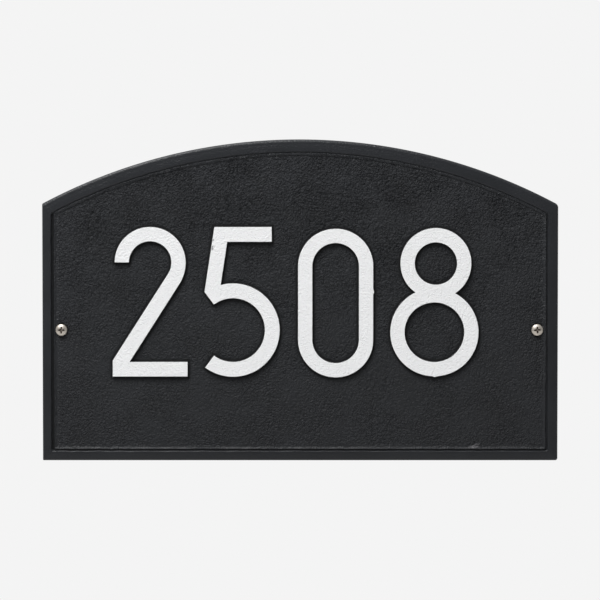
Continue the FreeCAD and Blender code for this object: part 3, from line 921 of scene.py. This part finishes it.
def groove_ring(settings, distance):
    """The middle line of the groove, moved inwards by a distance."""
    border = settings.border
    sides = (border.left, border.right, border.below, border.above)
    radii = (border.base_round, border.shoulder_round, border.shoulder_round, border.base_round)
    half = border.groove_floor / 2
    reach = max(-half, min(distance, half))
    insets = [side + distance + (width - 1) * reach for side, width in zip(sides, FLOOR_WIDTHS)]
    return arched_ring(settings.plate, insets, [max(r - distance, SMALLEST_CORNER) for r in radii])


def outward_run(ring):
    """How far each point of a ring faces to the right and upwards, from -1 to 1."""
    run = np.roll(ring, -1, axis=0) - np.roll(ring, 1, axis=0)
    run /= np.linalg.norm(run, axis=1)[:, None]
    return run[:, 1], -run[:, 0]


def groove_shade(ring):
    """How much painted shade the groove gets: fullest at the left, where its wall faces away from the
    lamp, least under the arch.
    """
    to_right, up = outward_run(ring)
    return np.clip(0.7 - 0.3 * to_right - 0.2 * np.abs(up) - 0.5 * np.maximum(up, 0), 0, 1)


def draw_border(draft, settings):
    """The outer side, the rounded edge, the border's face, the groove and the bead."""
    plate, border = settings.plate, settings.border
    face, field, _ = levels_of(settings)
    rounding, edge_face = plate.edge_round, face - plate.crown
    rings = []

    def even(inset, level):
        rings.append(draft.add(edge_ring(plate, inset), level, grain=GRAIN_ON_BORDER))

    for level in (0.0, 0.25 * MM, (edge_face - rounding) / 2, edge_face - rounding):
        even(0.0, level)
    for k in range(1, EDGE_STEPS + 1):
        turn = k * math.pi / (2 * EDGE_STEPS)
        even(rounding * (1 - math.cos(turn)), edge_face - rounding * (1 - math.sin(turn)))

    wall = border.groove_floor / 2
    crest = wall + border.field_depth * math.tan(border.slope)
    outside = border.bead_rise * math.tan(border.bead_outside)
    inside_slope = border.bead_rise * math.tan(border.bead_inside)
    foot = wall + border.bead_width
    bead = field + border.bead_rise
    start = crest + FLAT_MARGIN

    # The face rises in a shallow crown from the edge to the groove
    outer, inner = edge_ring(plate, rounding + 0.2 * MM), groove_ring(settings, -start)
    for t in (0.0, 0.25, 0.5, 0.75):
        level = face - plate.crown * (1 - t) ** 2
        rings.append(draft.add(outer + (inner - outer) * t, level, grain=GRAIN_ON_BORDER))
    corners = [
        (-start, face, 0),
        (-crest, face, CREST_ROUND),
        (-wall, field, 0.15 * MM),
        (wall, field, 0.1 * MM),
        (wall + outside, bead, 0.12 * MM),
        (foot - inside_slope, bead, 0.12 * MM),
        (foot, field, 0.5 * MM),
        (foot + FLAT_MARGIN, field, 0),
    ]
    for distance, level in rounded(corners):
        ring = groove_ring(settings, distance)
        under_arch = smooth_step((outward_run(ring)[1] - 0.3) / 0.5)
        depth = (face - level) / border.field_depth if distance < foot else 0.0
        level = level + border.arch_lift * under_arch * depth
        marks = {
            "grain": GRAIN_ON_BEAD if distance > wall else GRAIN_ON_BORDER,
            # Painted shade in the groove, set side by side as the lamp falls
            "crease": groove_shade(ring) if abs(distance) < wall + 0.35 * MM else 0.0,
            "wobble": smooth_step((distance + start) / FLAT_MARGIN),
        }
        rings.append(draft.add(ring, level, **marks))
    draft.rings(rings)
    return rings[0], rings[-1]


def draw_numeral_sides(draft, settings, outline):
    """From the face under the paint down the drafted side to the hollow round at the foot."""
    numerals = settings.numerals
    _, field, top = levels_of(settings)
    under = top - numerals.paint_thickness
    foot = numerals.rise * math.tan(numerals.draft)
    corners = [
        (-0.8 * MM, under, 0),
        (0.0, under, numerals.edge_round),
        (foot, field, numerals.foot_round),
        (foot + 1.1 * MM, field, 0),
    ]
    rings = []
    for distance, level in rounded(corners):
        below = (top - level) / numerals.rise
        marks = {
            "grain": GRAIN_ON_NUMERALS * smooth_step(below),
            # Painted shade on the numeral's side and at its foot, a dark ring round the white face
            "crease": 1.0 if distance < foot + 1.0 * MM else 0.8,
        }
        rings.append(draft.add(grown(outline, distance), level, **marks))
    draft.rings(rings)
    return rings[0], rings[-1]


def draw_back(draft, settings, outer):
    """The rim on the wall, the hollow behind the field and the bosses with their holes."""
    plate = settings.plate
    places = screw_places(settings)
    lean = math.tan(plate.back_draft)
    depth = plate.hollow_depth
    mouth = hollow_outline(plate, places, plate.rim_width)
    section = [
        (0.0, 0.0, 0),
        (0.25 * MM, 0.25 * MM, 0),
        (depth * lean, depth, 0.45 * MM),
        (depth * lean + 0.7 * MM, depth, 0),
    ]
    rings = []
    for distance, level in rounded(section):
        rings.append(draft.add(grown(mouth, -distance), level, back=1.0))
    draft.rings(rings)

    draft.fill([rings[-1]], depth, step=BACK_STEP, marks={"back": 1.0})
    holes = [draft.add(circle((x, 0.0), plate.hole_radius, HOLE_STEPS), 0.0) for x in places]
    draft.fill([outer, rings[0], *holes], 0.0)
    return holes


def draw_field(draft, settings, border, feet, holes):
    """The pebbled field, from the bead to the numerals' feet and the screw holes."""
    plate, grain = settings.plate, settings.grain
    _, field, _ = levels_of(settings)
    fronts = []
    for hole, x in zip(holes, screw_places(settings)):
        # Painted shade on the hole's front edge, under the head
        front = draft.add(circle((x, 0.0), plate.hole_radius, HOLE_STEPS), field, crease=1.0)
        draft.join(hole, front)
        fronts.append(front)
    loops = [border, *feet, *fronts]
    outlines = [draft.flat(loop) for loop in loops]
    feet_only = [draft.flat(foot) for foot in feet]

    def marks_at(points):
        full = smooth_step(nearness(outlines, points) / grain.fade)
        # Painted shade near the numerals' feet and in a ring round each screw head
        close = 0.5 - 0.5 * smooth_step(nearness(feet_only, points) / (1.6 * MM))
        for x in screw_places(settings):
            beyond = np.hypot(points[:, 0] - x, points[:, 1]) - settings.screws.head_radius
            close = np.maximum(close, 1 - smooth_step((beyond - 0.3 * MM) / (1.0 * MM)))
        return {"grain": GRAIN_ON_NUMERALS + (1 - GRAIN_ON_NUMERALS) * full, "crease": close}

    curls = (np.array(CURL_MIDDLE), CURL_REACH, CURL_STEP)
    draft.fill(loops, field, step=grain.step, marks=marks_at, finer_at=curls)


def grain_tree(material):
    """Raises the surface by its grain mark, and shifts it a little by its wobble mark."""
    names = ("Height", "Size", "Patch", "Wobble", "Seed")
    inputs = [(name, "NodeSocketFloat") for name in names]
    group, tree, given = new_geometry_tree("field_grain", inputs)
    place = tree.add("GeometryNodeInputPosition")["Position"]
    parts = tree.add("ShaderNodeSeparateXYZ", None, {0: place})
    x, z, seed = parts["X"], parts["Z"], given["Seed"]

    def plane(across, up):
        return tree.add("ShaderNodeCombineXYZ", None, {"X": across, "Y": up, "Z": seed})[0]

    def mark(name):
        sockets = {"Name": name}
        return tree.add("GeometryNodeInputNamedAttribute", {"data_type": "FLOAT"}, sockets)[0]

    # The lumps lean: they are drawn out along one diagonal
    size = given["Size"]
    pebbles = leather(tree, plane((x + z) * 0.8 / size, (z - x) * 1.12 / size), 1.0, 0.0)
    wide = plane(x / given["Patch"], z / given["Patch"])
    patches = (tree.noise(wide, 1.0, 3.0, 2.0) * 2.6 - 0.55).clamped(0.3, 1.0)
    swell = tree.noise(wide, 0.45, 8.0, 1.0) - 0.5
    upper = (z * UPPER_SLOPE + UPPER_START).clamped(LEAST_RELIEF, 1.0)
    rise = (pebbles * patches * upper + swell * 0.2) * mark("grain") * given["Height"]

    # Groove and bead were cut by hand, so they run and rise unevenly
    loose = plane(x * 150, z * 150)
    shift = mark("wobble") * given["Wobble"]
    sideways = (tree.noise(loose, 1.0, 5.0, 2.0) - 0.5) * shift
    upwards = (tree.noise(loose, 1.0, 6.0, 2.0) - 0.5) * shift
    higher = (tree.noise(loose, 0.6, 7.0, 2.0) - 0.5) * shift
    sockets = {"X": sideways, "Y": (rise + higher) * -1.0, "Z": upwards}
    offset = tree.add("ShaderNodeCombineXYZ", None, sockets)[0]
    sockets = {"Geometry": given["Geometry"], "Offset": offset}
    moved = tree.add("GeometryNodeSetPosition", None, sockets)["Geometry"]
    finish_geometry(tree, moved, material)
    return group


def raise_grain(obj, settings, material):
    grain = settings.grain
    values = {
        "Height": grain.height,
        "Size": grain.size,
        "Patch": grain.patch,
        "Wobble": grain.wobble,
        "Seed": float(grain.seed),
    }
    run_geometry_tree(obj, grain_tree(material), values)


def seat(obj, slot, *replaced):
    """The finished piece rides on the plaque, and the parts it replaces are hidden. The slot argument is
    not used.
    """
    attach(obj, BODY)
    if replaced:
        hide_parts(*replaced)


class PLAQUE_OT_casting(bpy.types.Operator):
    """Build the casting: border, groove, bead, pebbled field, numerals and hollow back"""

    bl_idname = "plaque.casting"
    bl_label = "Casting"

    def execute(self, context):
        settings = context.scene.plaque
        draft = Draft("grain", "crease", "back", "wobble", "ridge_highlight")
        outer, border = draw_border(draft, settings)
        tops, feet = [], []
        for outlines in NUMERALS.values():
            for outline in outlines(settings.numerals):
                top, foot = draw_numeral_sides(draft, settings, outline)
                tops.append(top)
                feet.append(foot)
        draft.fill(tops, levels_of(settings)[2] - settings.numerals.paint_thickness, step=HIDDEN_STEP)
        holes = draw_back(draft, settings, outer)
        draw_field(draft, settings, border, feet, holes)
        for curl in CURLS:
            draft.raise_ridge(np.array(curl) * MM, CURL_WIDTH, CURL_HEIGHT)
        casting = draft.build("casting_body")
        raise_grain(casting, settings, coating_material(settings.finish))
        seat(casting, "black_coating", "plaque_casting")
        return {"FINISHED"}


# The white paint


class PLAQUE_OT_numeral_paint(bpy.types.Operator):
    """Build the white paint on the face of each numeral"""

    bl_idname = "plaque.numeral_paint"
    bl_label = "Numeral Paint"

    def execute(self, context):
        settings = context.scene.plaque
        material = paint_material(settings.finish)
        for name, outlines in NUMERALS.items():
            paint = draw_paint(f"numeral_paint_{name}", settings, outlines(settings.numerals))
            raise_grain(paint, settings, material)
            seat(paint, "white_numerals")
        return {"FINISHED"}


def draw_paint(name, settings, outlines):
    """A thin closed film over a numeral's face, which stops just short of its edge."""
    numerals = settings.numerals
    _, _, top = levels_of(settings)
    under = top - numerals.paint_thickness
    edge = -numerals.paint_margin
    inner = edge - 0.6 * MM
    draft = Draft("grain")
    section = [
        (inner, top, 0),
        (edge, top, 0.08 * MM),
        (edge, under - PAINT_OVERLAP, 0),
        (inner, under - PAINT_OVERLAP, 0),
    ]
    fronts, backs = [], []
    for outline in outlines:
        rings = []
        for distance, level in rounded(section):
            grain = GRAIN_ON_NUMERALS if level > under else 0.0
            rings.append(draft.add(grown(outline, distance), level, grain=grain))
        draft.rings(rings)
        fronts.append(rings[0])
        backs.append(rings[-1])
    draft.fill(fronts, top, step=PAINT_STEP, marks={"grain": GRAIN_ON_NUMERALS})
    draft.fill(backs, under - PAINT_OVERLAP, step=HIDDEN_STEP)
    return draft.build(name)


# The screws


def lathe(profile, steps):
    """A closed round mesh from (radius, height) pairs that start and end on the axis."""
    shape = bmesh.new()
    rings = []
    for radius, height in profile:
        if radius == 0:
            rings.append([shape.verts.new((0, 0, height))])
            continue
        turns = [k * 2 * math.pi / steps for k in range(steps)]
        rings.append(
            [shape.verts.new((radius * math.cos(t), radius * math.sin(t), height)) for t in turns]
        )
    for low, high in zip(rings, rings[1:]):
        for k in range(steps):
            corners = [low[k % len(low)], low[(k + 1) % len(low)]]
            corners += [high[(k + 1) % len(high)], high[k % len(high)]]
            shape.faces.new(dict.fromkeys(corners))
    bmesh.ops.recalc_face_normals(shape, faces=shape.faces)
    return shape


def head_profile(sizes, neck_end):
    """Half the section of the head and the plain neck, from the neck's end to the crown."""
    head, side, top, crown = sizes.head_radius, sizes.head_side, sizes.head_height, sizes.crown_radius
    dome = top - crown
    rise = side - dome
    rim = (crown**2 - head**2 - rise**2) / (2 * (crown - head))
    meeting = math.atan2(rise, head - rim)
    neck = sizes.neck_radius
    points = [(0, -neck_end), (neck, -neck_end), (neck, 0), (head - 0.15 * MM, 0), (head, 0.15 * MM)]
    for k in range(9):
        turn = meeting * k / 8
        points.append((head - rim + rim * math.cos(turn), side + rim * math.sin(turn)))
    for k in range(1, 9):
        turn = meeting + (math.pi / 2 - meeting) * k / 9
        points.append((crown * math.cos(turn), dome + crown * math.sin(turn)))
    points.append((0, top))
    return points


def recess_cutter(sizes):
    """The cross recess as a solid: four tapered arms that open a little at the top."""
    shape = bmesh.new()
    over, lip = 0.6 * MM, 0.35 * MM
    rings = []
    for depth, flare in ((-over, 0.3 * MM), (lip, 0.0), (sizes.recess_depth, 0.0)):
        draw_in = math.tan(sizes.recess_slope) * depth
        far = sizes.recess_span / 2 - draw_in + flare * 0.4
        near = max(sizes.recess_arm / 2 - draw_in * 0.6, 0.2 * MM) + flare
        bend = near * 1.4
        quarter = [(far, -near * 0.7), (far, near * 0.7), (bend, near), (near, bend)]
        corners = []
        for _ in range(4):
            corners += quarter
            quarter = [(-y, x) for x, y in quarter]
        rings.append([shape.verts.new((x, y, sizes.head_height - depth)) for x, y in corners])
    for low, high in zip(rings, rings[1:]):
        for k, _ in enumerate(low):
            shape.faces.new((low[k - 1], low[k], high[k], high[k - 1]))
    shape.faces.new(rings[0])
    shape.faces.new(rings[-1])
    bmesh.ops.recalc_face_normals(shape, faces=shape.faces)
    return shape


def mesh_of(shape, name):
    mesh = bpy.data.meshes.new(name)
    shape.to_mesh(mesh)
    shape.free()
    return mesh


def cut_head(sizes, neck_end):
    """The head and neck with the recess cut out of the crown."""
    turned = lathe(head_profile(sizes, neck_end), HEAD_STEPS)
    blank = link_object("screw_blank", mesh_of(turned, "screw_blank"))
    cutter = link_object("screw_cutter", mesh_of(recess_cutter(sizes), "screw_cutter"))
    cut = blank.modifiers.new("recess", "BOOLEAN")
    cut.object = cutter
    cut.operation = "DIFFERENCE"
    cut.solver = "EXACT"
    graph = bpy.context.evaluated_depsgraph_get()
    made = bpy.data.meshes.new_from_object(blank.evaluated_get(graph))
    bpy.data.objects.remove(blank)
    bpy.data.objects.remove(cutter)
    return made


def thread_tree(material):
    """A threaded shank along Z, down from nought: a sheet rolled up so that its rows climb."""
    names = ("Core", "Thread", "Pitch", "Length", "Tip")
    inputs = [(name, "NodeSocketFloat") for name in names]
    inputs += [("Rows", "NodeSocketInt"), ("Around", "NodeSocketInt"), ("Rows a Turn", "NodeSocketFloat")]
    group, tree, given = new_geometry_tree("screw_thread", inputs)
    sheet = tree.add(
        "GeometryNodeMeshGrid",
        None,
        {"Size X": 1.0, "Size Y": 1.0, "Vertices X": given["Rows"], "Vertices Y": given["Around"]},
    )["Mesh"]
    place = tree.add("GeometryNodeInputPosition")["Position"]
    parts = tree.add("ShaderNodeSeparateXYZ", None, {0: place})
    turn = parts["Y"] + 0.5
    row = ((parts["X"] + 0.5) * (given["Rows"] - 1)).math("ROUND")
    climb = row / given["Rows a Turn"]
    depth = ((climb + turn - 1) * given["Pitch"]).clamped(0.0, given["Length"])
    crest = (1 - (climb.math("FRACT") - 0.5).math("ABSOLUTE") * 4).clamped()
    run_in = (depth / given["Pitch"]).clamped()
    taper = ((given["Length"] - depth) / given["Tip"]).clamped()
    radius = (given["Core"] + (given["Thread"] - given["Core"]) * crest * run_in) * taper
    closed = radius * row.clamped()
    turned = turn * (2 * math.pi)
    spot = tree.add(
        "ShaderNodeCombineXYZ",
        None,
        {"X": closed * turned.math("COSINE"), "Y": closed * turned.math("SINE"), "Z": depth * -1.0},
    )[0]
    rolled = tree.add("GeometryNodeSetPosition", None, {"Geometry": sheet, "Position": spot})["Geometry"]
    merged = tree.add("GeometryNodeMergeByDistance", None, {"Geometry": rolled, "Distance": 0.02 * MM})[0]
    finish_geometry(tree, merged, material)
    return group


def rolled_thread(sizes, length_of_thread, material):
    """The thread as a plain mesh, along Z from nought downwards."""
    rows_a_turn = 8
    turns = math.ceil(length_of_thread / sizes.pitch) + 1
    holder = link_object("screw_thread", bpy.data.meshes.new("screw_thread"))
    values = {
        "Core": sizes.core_radius,
        "Thread": sizes.thread_radius,
        "Pitch": sizes.pitch,
        "Length": length_of_thread,
        "Tip": sizes.tip_length,
        "Rows": turns * rows_a_turn + 1,
        "Around": 33,
        "Rows a Turn": float(rows_a_turn),
    }
    run_geometry_tree(holder, thread_tree(material), values)
    made = holder.data
    bpy.data.objects.remove(holder)
    return made


def mark_screw(mesh, sizes):
    """Marks how far each point lies from the axis, and how deep in the recess."""
    dome = sizes.head_height - sizes.crown_radius
    radial, recess = [], []
    for vertex in mesh.vertices:
        away = math.hypot(vertex.co.x, vertex.co.y)
        radial.append(away / MM)
        in_head = away < sizes.recess_span * 0.56 and vertex.co.z > 0
        crown = dome + math.sqrt(sizes.crown_radius**2 - away**2) if in_head else vertex.co.z
        recess.append(min(max((crown - vertex.co.z) / (0.5 * MM), 0.0), 1.0))
    for name, values in (("radial", radial), ("recess", recess)):
        mesh.attributes.new(name, "FLOAT", "POINT").data.foreach_set("value", values)


def make_screw(name, settings, x, turn, material):
    sizes = settings.screws
    _, field, _ = levels_of(settings)
    bury = 0.4 * MM
    neck_end = field
    shape = bmesh.new()
    shape.from_mesh(rolled_thread(sizes, sizes.length - neck_end + bury, material))
    bmesh.ops.translate(shape, verts=shape.verts, vec=(0, 0, bury - neck_end))
    shape.from_mesh(cut_head(sizes, neck_end))
    bmesh.ops.remove_doubles(shape, verts=shape.verts, dist=0.001 * MM)
    bmesh.ops.recalc_face_normals(shape, faces=shape.faces)
    mesh = mesh_of(shape, name)
    mark_screw(mesh, sizes)
    turned = Vector((0, 0, 1)).rotation_difference(Vector((0, -1, 0))).to_matrix()
    spin = Vector((1, 0, 0)).rotation_difference(Vector((math.cos(turn), math.sin(turn), 0))).to_matrix()
    mesh.transform((turned @ spin).to_4x4())
    for vertex in mesh.vertices:
        vertex.co += Vector((x, -field, 0))
    mesh.shade_smooth()
    mesh.set_sharp_from_angle(angle=math.radians(32))
    mesh.materials.clear()
    mesh.materials.append(material)
    return link_object(name, mesh)


class PLAQUE_OT_screws(bpy.types.Operator):
    """Build the two pan head screws with their cross recess and thread"""

    bl_idname = "plaque.screws"
    bl_label = "Screws"

    def execute(self, context):
        settings = context.scene.plaque
        material = steel_material(settings.finish)
        sizes = settings.screws
        turns = (sizes.left_turn, sizes.right_turn)
        for side, x, turn in zip(("left", "right"), screw_places(settings), turns):
            screw = make_screw(f"screw_{side}", settings, x, turn, material)
            seat(screw, "screw_steel", f"mounting_screw_{side}")
        return {"FINISHED"}


# The finishes


# How much rougher the upper field is than the lower, by height in metres, in mesh and bump alike
UPPER_SLOPE = 4
UPPER_START = 0.62
LEAST_RELIEF = 0.5

# Painted highlight on the flaw's ridges, and brown grime with painted shade in the screws' recesses
RIDGE_HIGHLIGHT = (0.16, 0.155, 0.165)
GRIME_AND_SHADE = (0.09, 0.05, 0.028)


def bumped(tree, height, distance, strength=1.0):
    """A normal that a height in shares of a distance bends."""
    sockets = {"Strength": strength, "Distance": distance, "Height": height}
    return tree.add("ShaderNodeBump", None, sockets)["Normal"]


def coating_relief(tree, place, up, peel):
    """Orange peel everywhere, small pebbles between the large ones on the field, a rough back."""
    dust = tree.noise(place, 0.22 * MM, 2.0, 1.0)
    small = leather(tree, place, 1.5 * MM, 5.0)
    patches = (tree.noise(place, 26 * MM, 8.0, 2.0) * 2.4 - 0.5).clamped(0.45, 1.0)
    upper = (up * UPPER_SLOPE + UPPER_START).clamped(LEAST_RELIEF, 1.0)
    lumps = small * patches * upper * tree.mark("grain")
    rough_cast = tree.noise(place, 1.6 * MM, 4.0, 4.0, 0.7)
    height = peel * 0.018 + dust * 0.007 + lumps + rough_cast * tree.mark("back") * 0.1
    return bumped(tree, height, 4.6 * MM)


def coating_shade(tree, finish, cloud, painted_light_slant, peel):
    """Mottled black, made paler towards the top left by painted light, darkened by painted shade in the
    creases and given painted highlights on the flaw's ridges.
    """
    body, lighter, darker = [shade_of(finish.coating, strength) for strength in (1.0, 1.8, 0.2)]
    # Random mottle, plus painted light that pales the coat towards the top left
    paler = (cloud * 1.8 - 0.4).clamped() * 0.7 + painted_light_slant * 0.9
    mottled = tree.blend(paler, body, lighter)
    # Painted shade: the coat turns near-black in the groove, round the numerals and round the screw heads
    coated = tree.blend((tree.mark("crease") * 0.85).clamped(), mottled, darker)
    # Painted highlight: pale grey laid patchily along the flaw's ridges
    wear_and_highlight = (tree.mark("ridge_highlight") * (peel * 1.6 - 0.1)).clamped()
    return tree.blend(wear_and_highlight, coated, shade_of(RIDGE_HIGHLIGHT))


def coating_material(finish):
    """Satin black coating: smooth on the border, pebbled on the field, rougher and darkened by painted
    shade in the creases.
    """
    material, tree = new_material("black_coating")
    place = tree.add("ShaderNodeTexCoord")["Object"]
    parts = tree.add("ShaderNodeSeparateXYZ", None, {0: place})
    peel = tree.noise(place, 0.9 * MM, 1.0, 2.0)
    cloud = tree.noise(place, 24 * MM, 6.0, 3.0)
    # Painted light: rises towards the top left, where the lamp stands
    painted_light_slant = (parts["Z"] * 3 - parts["X"] * 0.6 + 0.3).clamped()
    satin = finish.border_roughness
    satin = satin + (finish.field_roughness - satin) * tree.mark("grain")
    roughness = satin + (cloud - 0.5) * 0.1 + tree.mark("crease") * 0.5 + tree.mark("back") * 0.12
    sockets = {
        "Base Color": coating_shade(tree, finish, cloud, painted_light_slant, peel),
        "Roughness": roughness.clamped(),
        "Specular IOR Level": 0.3,
        "Normal": coating_relief(tree, place, parts["Z"], peel),
    }
    finish_material(tree, tree.add("ShaderNodeBsdfPrincipled", None, sockets)[0])
    return material


def paint_material(finish):
    """Matt white paint that shows a little of the casting's grain."""
    material, tree = new_material("white_numerals")
    place = tree.add("ShaderNodeTexCoord")["Object"]
    brushed = tree.noise(place, 1.5 * MM, 11.0, 3.0, 0.6)
    fine = tree.noise(place, 0.4 * MM, 12.0, 2.0)
    cloud = tree.noise(place, 14 * MM, 13.0, 2.0)
    lumps = leather(tree, place, 1.4 * MM, 14.0)
    clean, greyer = shade_of(finish.paint), shade_of(finish.paint, 0.94)
    shade = tree.blend((cloud * 1.6 - 0.3).clamped() * 0.4 + brushed * 0.6, clean, greyer)
    sockets = {
        "Base Color": shade,
        "Roughness": (0.55 + brushed * 0.2).clamped(),
        "Specular IOR Level": 0.35,
        "Normal": bumped(tree, lumps + fine * 0.1, 0.65 * MM),
    }
    finish_material(tree, tree.add("ShaderNodeBsdfPrincipled", None, sockets)[0])
    return material


def steel_material(finish):
    """Plated steel with faint turning marks round the axis."""
    material, tree = new_material("screw_steel")
    place = tree.add("ShaderNodeTexCoord")["Object"]
    radial = tree.mark("radial")
    rings = tree.add("ShaderNodeCombineXYZ", None, {"X": radial * 5.0, "Y": 0.3, "Z": 0.7})[0]
    marks = tree.noise(rings, 1.0, 21.0, 3.0, 0.6)
    stain = tree.noise(place, 1.8 * MM, 22.0, 3.0, 0.6)
    bright, dull = shade_of(finish.steel), shade_of(finish.steel, 0.62)
    recess = tree.mark("recess")
    wear_and_highlight = tree.blend((stain * 1.8 - 0.5).clamped() * 0.8, bright, dull)
    out_along_arm = ((radial - 0.7) / 0.7).clamped(0.1, 1.0)
    sockets = {
        # Brown grime with painted shade in the recess, darkest out along the arms
        "Base Color": tree.blend((recess * 1.6).clamped() * out_along_arm, wear_and_highlight, shade_of(GRIME_AND_SHADE)),
        "Metallic": 1.0,
        "Roughness": (0.32 + marks * 0.18 + stain * 0.1 + recess * 0.3).clamped(),
        "Normal": bumped(tree, marks + stain * 0.5, 0.05 * MM, 0.25),
    }
    finish_material(tree, tree.add("ShaderNodeBsdfPrincipled", None, sockets)[0])
    return material


# The stage


# The lamp, in metres: high up in front, a little to the left
LAMP_WIDTH = 0.9
LAMP_PLACE = (-0.62, -0.92, 1.74)

# The floor, and where it fades into the background, in metres
FLOOR_RADIUS = 2.5
FADE_START = 0.7
FADE_RUN = 0.5

# The photo's width and the point midway between the screws, in its pixels
PHOTO_SIZE = 600
SCREWS_ACROSS = 299.3
SCREWS_DOWN = 330.0


def seen_directly(tree):
    """One where the camera sees the background, or sees it in gloss or through glass."""
    path = tree.add("ShaderNodeLightPath")
    return path["Is Camera Ray"], (path["Is Glossy Ray"] + path["Is Transmission Ray"]).clamped()


def make_world(stage):
    """A pale background. Gloss shows the room in front dimmer than what is above and behind."""
    world = bpy.data.worlds.new("studio")
    bpy.context.scene.world = world
    world.use_nodes = True
    world.node_tree.nodes.clear()
    tree = Tree(world.node_tree)
    way = tree.add("ShaderNodeSeparateXYZ", None, {0: tree.add("ShaderNodeTexCoord")["Object"]})
    over = (way["Z"] * 0.7 + way["Y"] * 0.8 + 0.45).clamped()
    seen, shown = seen_directly(tree)
    mirrored = stage.front + (stage.background - stage.front) * over
    room = stage.ambient + (mirrored - stage.ambient) * shown
    level = room + (stage.background - room) * seen
    white = (1.0, 1.0, 1.0, 1.0)
    glow = tree.add("ShaderNodeBackground", None, {"Color": white, "Strength": level})[0]
    tree.add("ShaderNodeOutputWorld", None, {"Surface": glow})


def floor_material(stage):
    """Pale floor that runs into the background some way from the plaque."""
    material, tree = new_material("pale_floor")
    place = tree.add("ShaderNodeTexCoord")["Object"]
    away = tree.add("ShaderNodeVectorMath", {"operation": "LENGTH"}, {0: place})["Value"]
    mottle = tree.noise(place, 60 * MM, 31.0, 3.0)
    pale = (0.86, 0.86, 0.86, 1.0)
    paler = (0.9, 0.9, 0.9, 1.0)
    matt = tree.add("ShaderNodeBsdfDiffuse", None, {"Color": tree.blend(mottle, pale, paler)})[0]
    level = stage.background
    glow = tree.add("ShaderNodeEmission", None, {"Color": (level, level, level, 1.0)})[0]
    far = ((away - FADE_START) / FADE_RUN).clamped()
    seen, shown = seen_directly(tree)
    factor = far * (seen + shown).clamped()
    mixed = tree.add("ShaderNodeMixShader", None, {0: factor, 1: matt, 2: glow})[0]
    finish_material(tree, mixed)
    return material


class PLAQUE_OT_stage(bpy.types.Operator):
    """Set up the pale floor, the soft lamp, the background and the camera"""

    bl_idname = "plaque.stage"
    bl_label = "Stage"

    def execute(self, context):
        stage = context.scene.plaque.stage
        context.scene.view_settings.view_transform = "Standard"
        make_world(stage)

        shape = bmesh.new()
        bmesh.ops.create_circle(shape, cap_ends=True, radius=FLOOR_RADIUS, segments=96)
        floor = link_object("floor", mesh_of(shape, "floor"))
        floor.data.transform(Matrix.Translation((0, 0, -stage.floor_drop)))
        floor.data.materials.append(floor_material(stage))

        add_lamp("soft_lamp", stage.lamp_power, LAMP_WIDTH, Vector(LAMP_PLACE))
        context.scene.camera = make_camera(stage)
        return {"FINISHED"}


def add_lamp(name, power, size, place):
    light = bpy.data.lights.new(name, "AREA")
    light.energy = power
    light.shape = "DISK"
    light.size = size
    lamp = bpy.data.objects.new(name, light)
    lamp.location = place
    lamp.rotation_euler = (-place).to_track_quat("-Z", "Y").to_euler()
    bpy.context.scene.collection.objects.link(lamp)


def make_camera(stage):
    """The camera looks at the spot that lies in the middle of the photo."""
    data = bpy.data.cameras.new("camera")
    camera = bpy.data.objects.new("camera", data)
    bpy.context.scene.collection.objects.link(camera)
    pixel = stage.photo_width / PHOTO_SIZE
    middle = PHOTO_SIZE / 2
    target = Vector(((middle - SCREWS_ACROSS) * pixel, -0.0065, (SCREWS_DOWN - middle) * pixel))
    back = Vector((0, -math.cos(stage.elevation), math.sin(stage.elevation)))
    camera.location = target + back * stage.distance
    camera.rotation_euler = (-back).to_track_quat("-Z", "Y").to_euler()
    data.sensor_width = 36
    data.lens = data.sensor_width * stage.distance / stage.photo_width
    data.clip_start, data.clip_end = 0.05, 50
    return camera


# The panel and the run


class PLAQUE_PT_build(bpy.types.Panel):
    """Lists the pieces of the plaque in the order they are made"""

    bl_label = "House Number Plaque"
    bl_space_type = "VIEW_3D"
    bl_region_type = "UI"
    bl_category = "Plaque"

    def draw(self, context):
        for operator in OPERATORS:
            self.layout.operator(operator.bl_idname)


GROUPS = (
    PlateSizes,
    BorderSizes,
    NumeralSizes,
    GrainSettings,
    ScrewSizes,
    FinishSettings,
    StageSettings,
    PlaqueSettings,
)
OPERATORS = (
    PLAQUE_OT_stage,
    PLAQUE_OT_casting,
    PLAQUE_OT_numeral_paint,
    PLAQUE_OT_screws,
)
CLASSES = (*GROUPS, *OPERATORS, PLAQUE_PT_build)


def register():
    for cls in CLASSES:
        bpy.utils.register_class(cls)
    bpy.types.Scene.plaque = PointerProperty(type=PlaqueSettings)


def unregister():
    del bpy.types.Scene.plaque
    for cls in reversed(CLASSES):
        bpy.utils.unregister_class(cls)


def main():
    register()
    bpy.ops.plaque.stage()
    bpy.ops.plaque.casting()
    bpy.ops.plaque.numeral_paint()
    bpy.ops.plaque.screws()


if __name__ == "__main__":
    main()
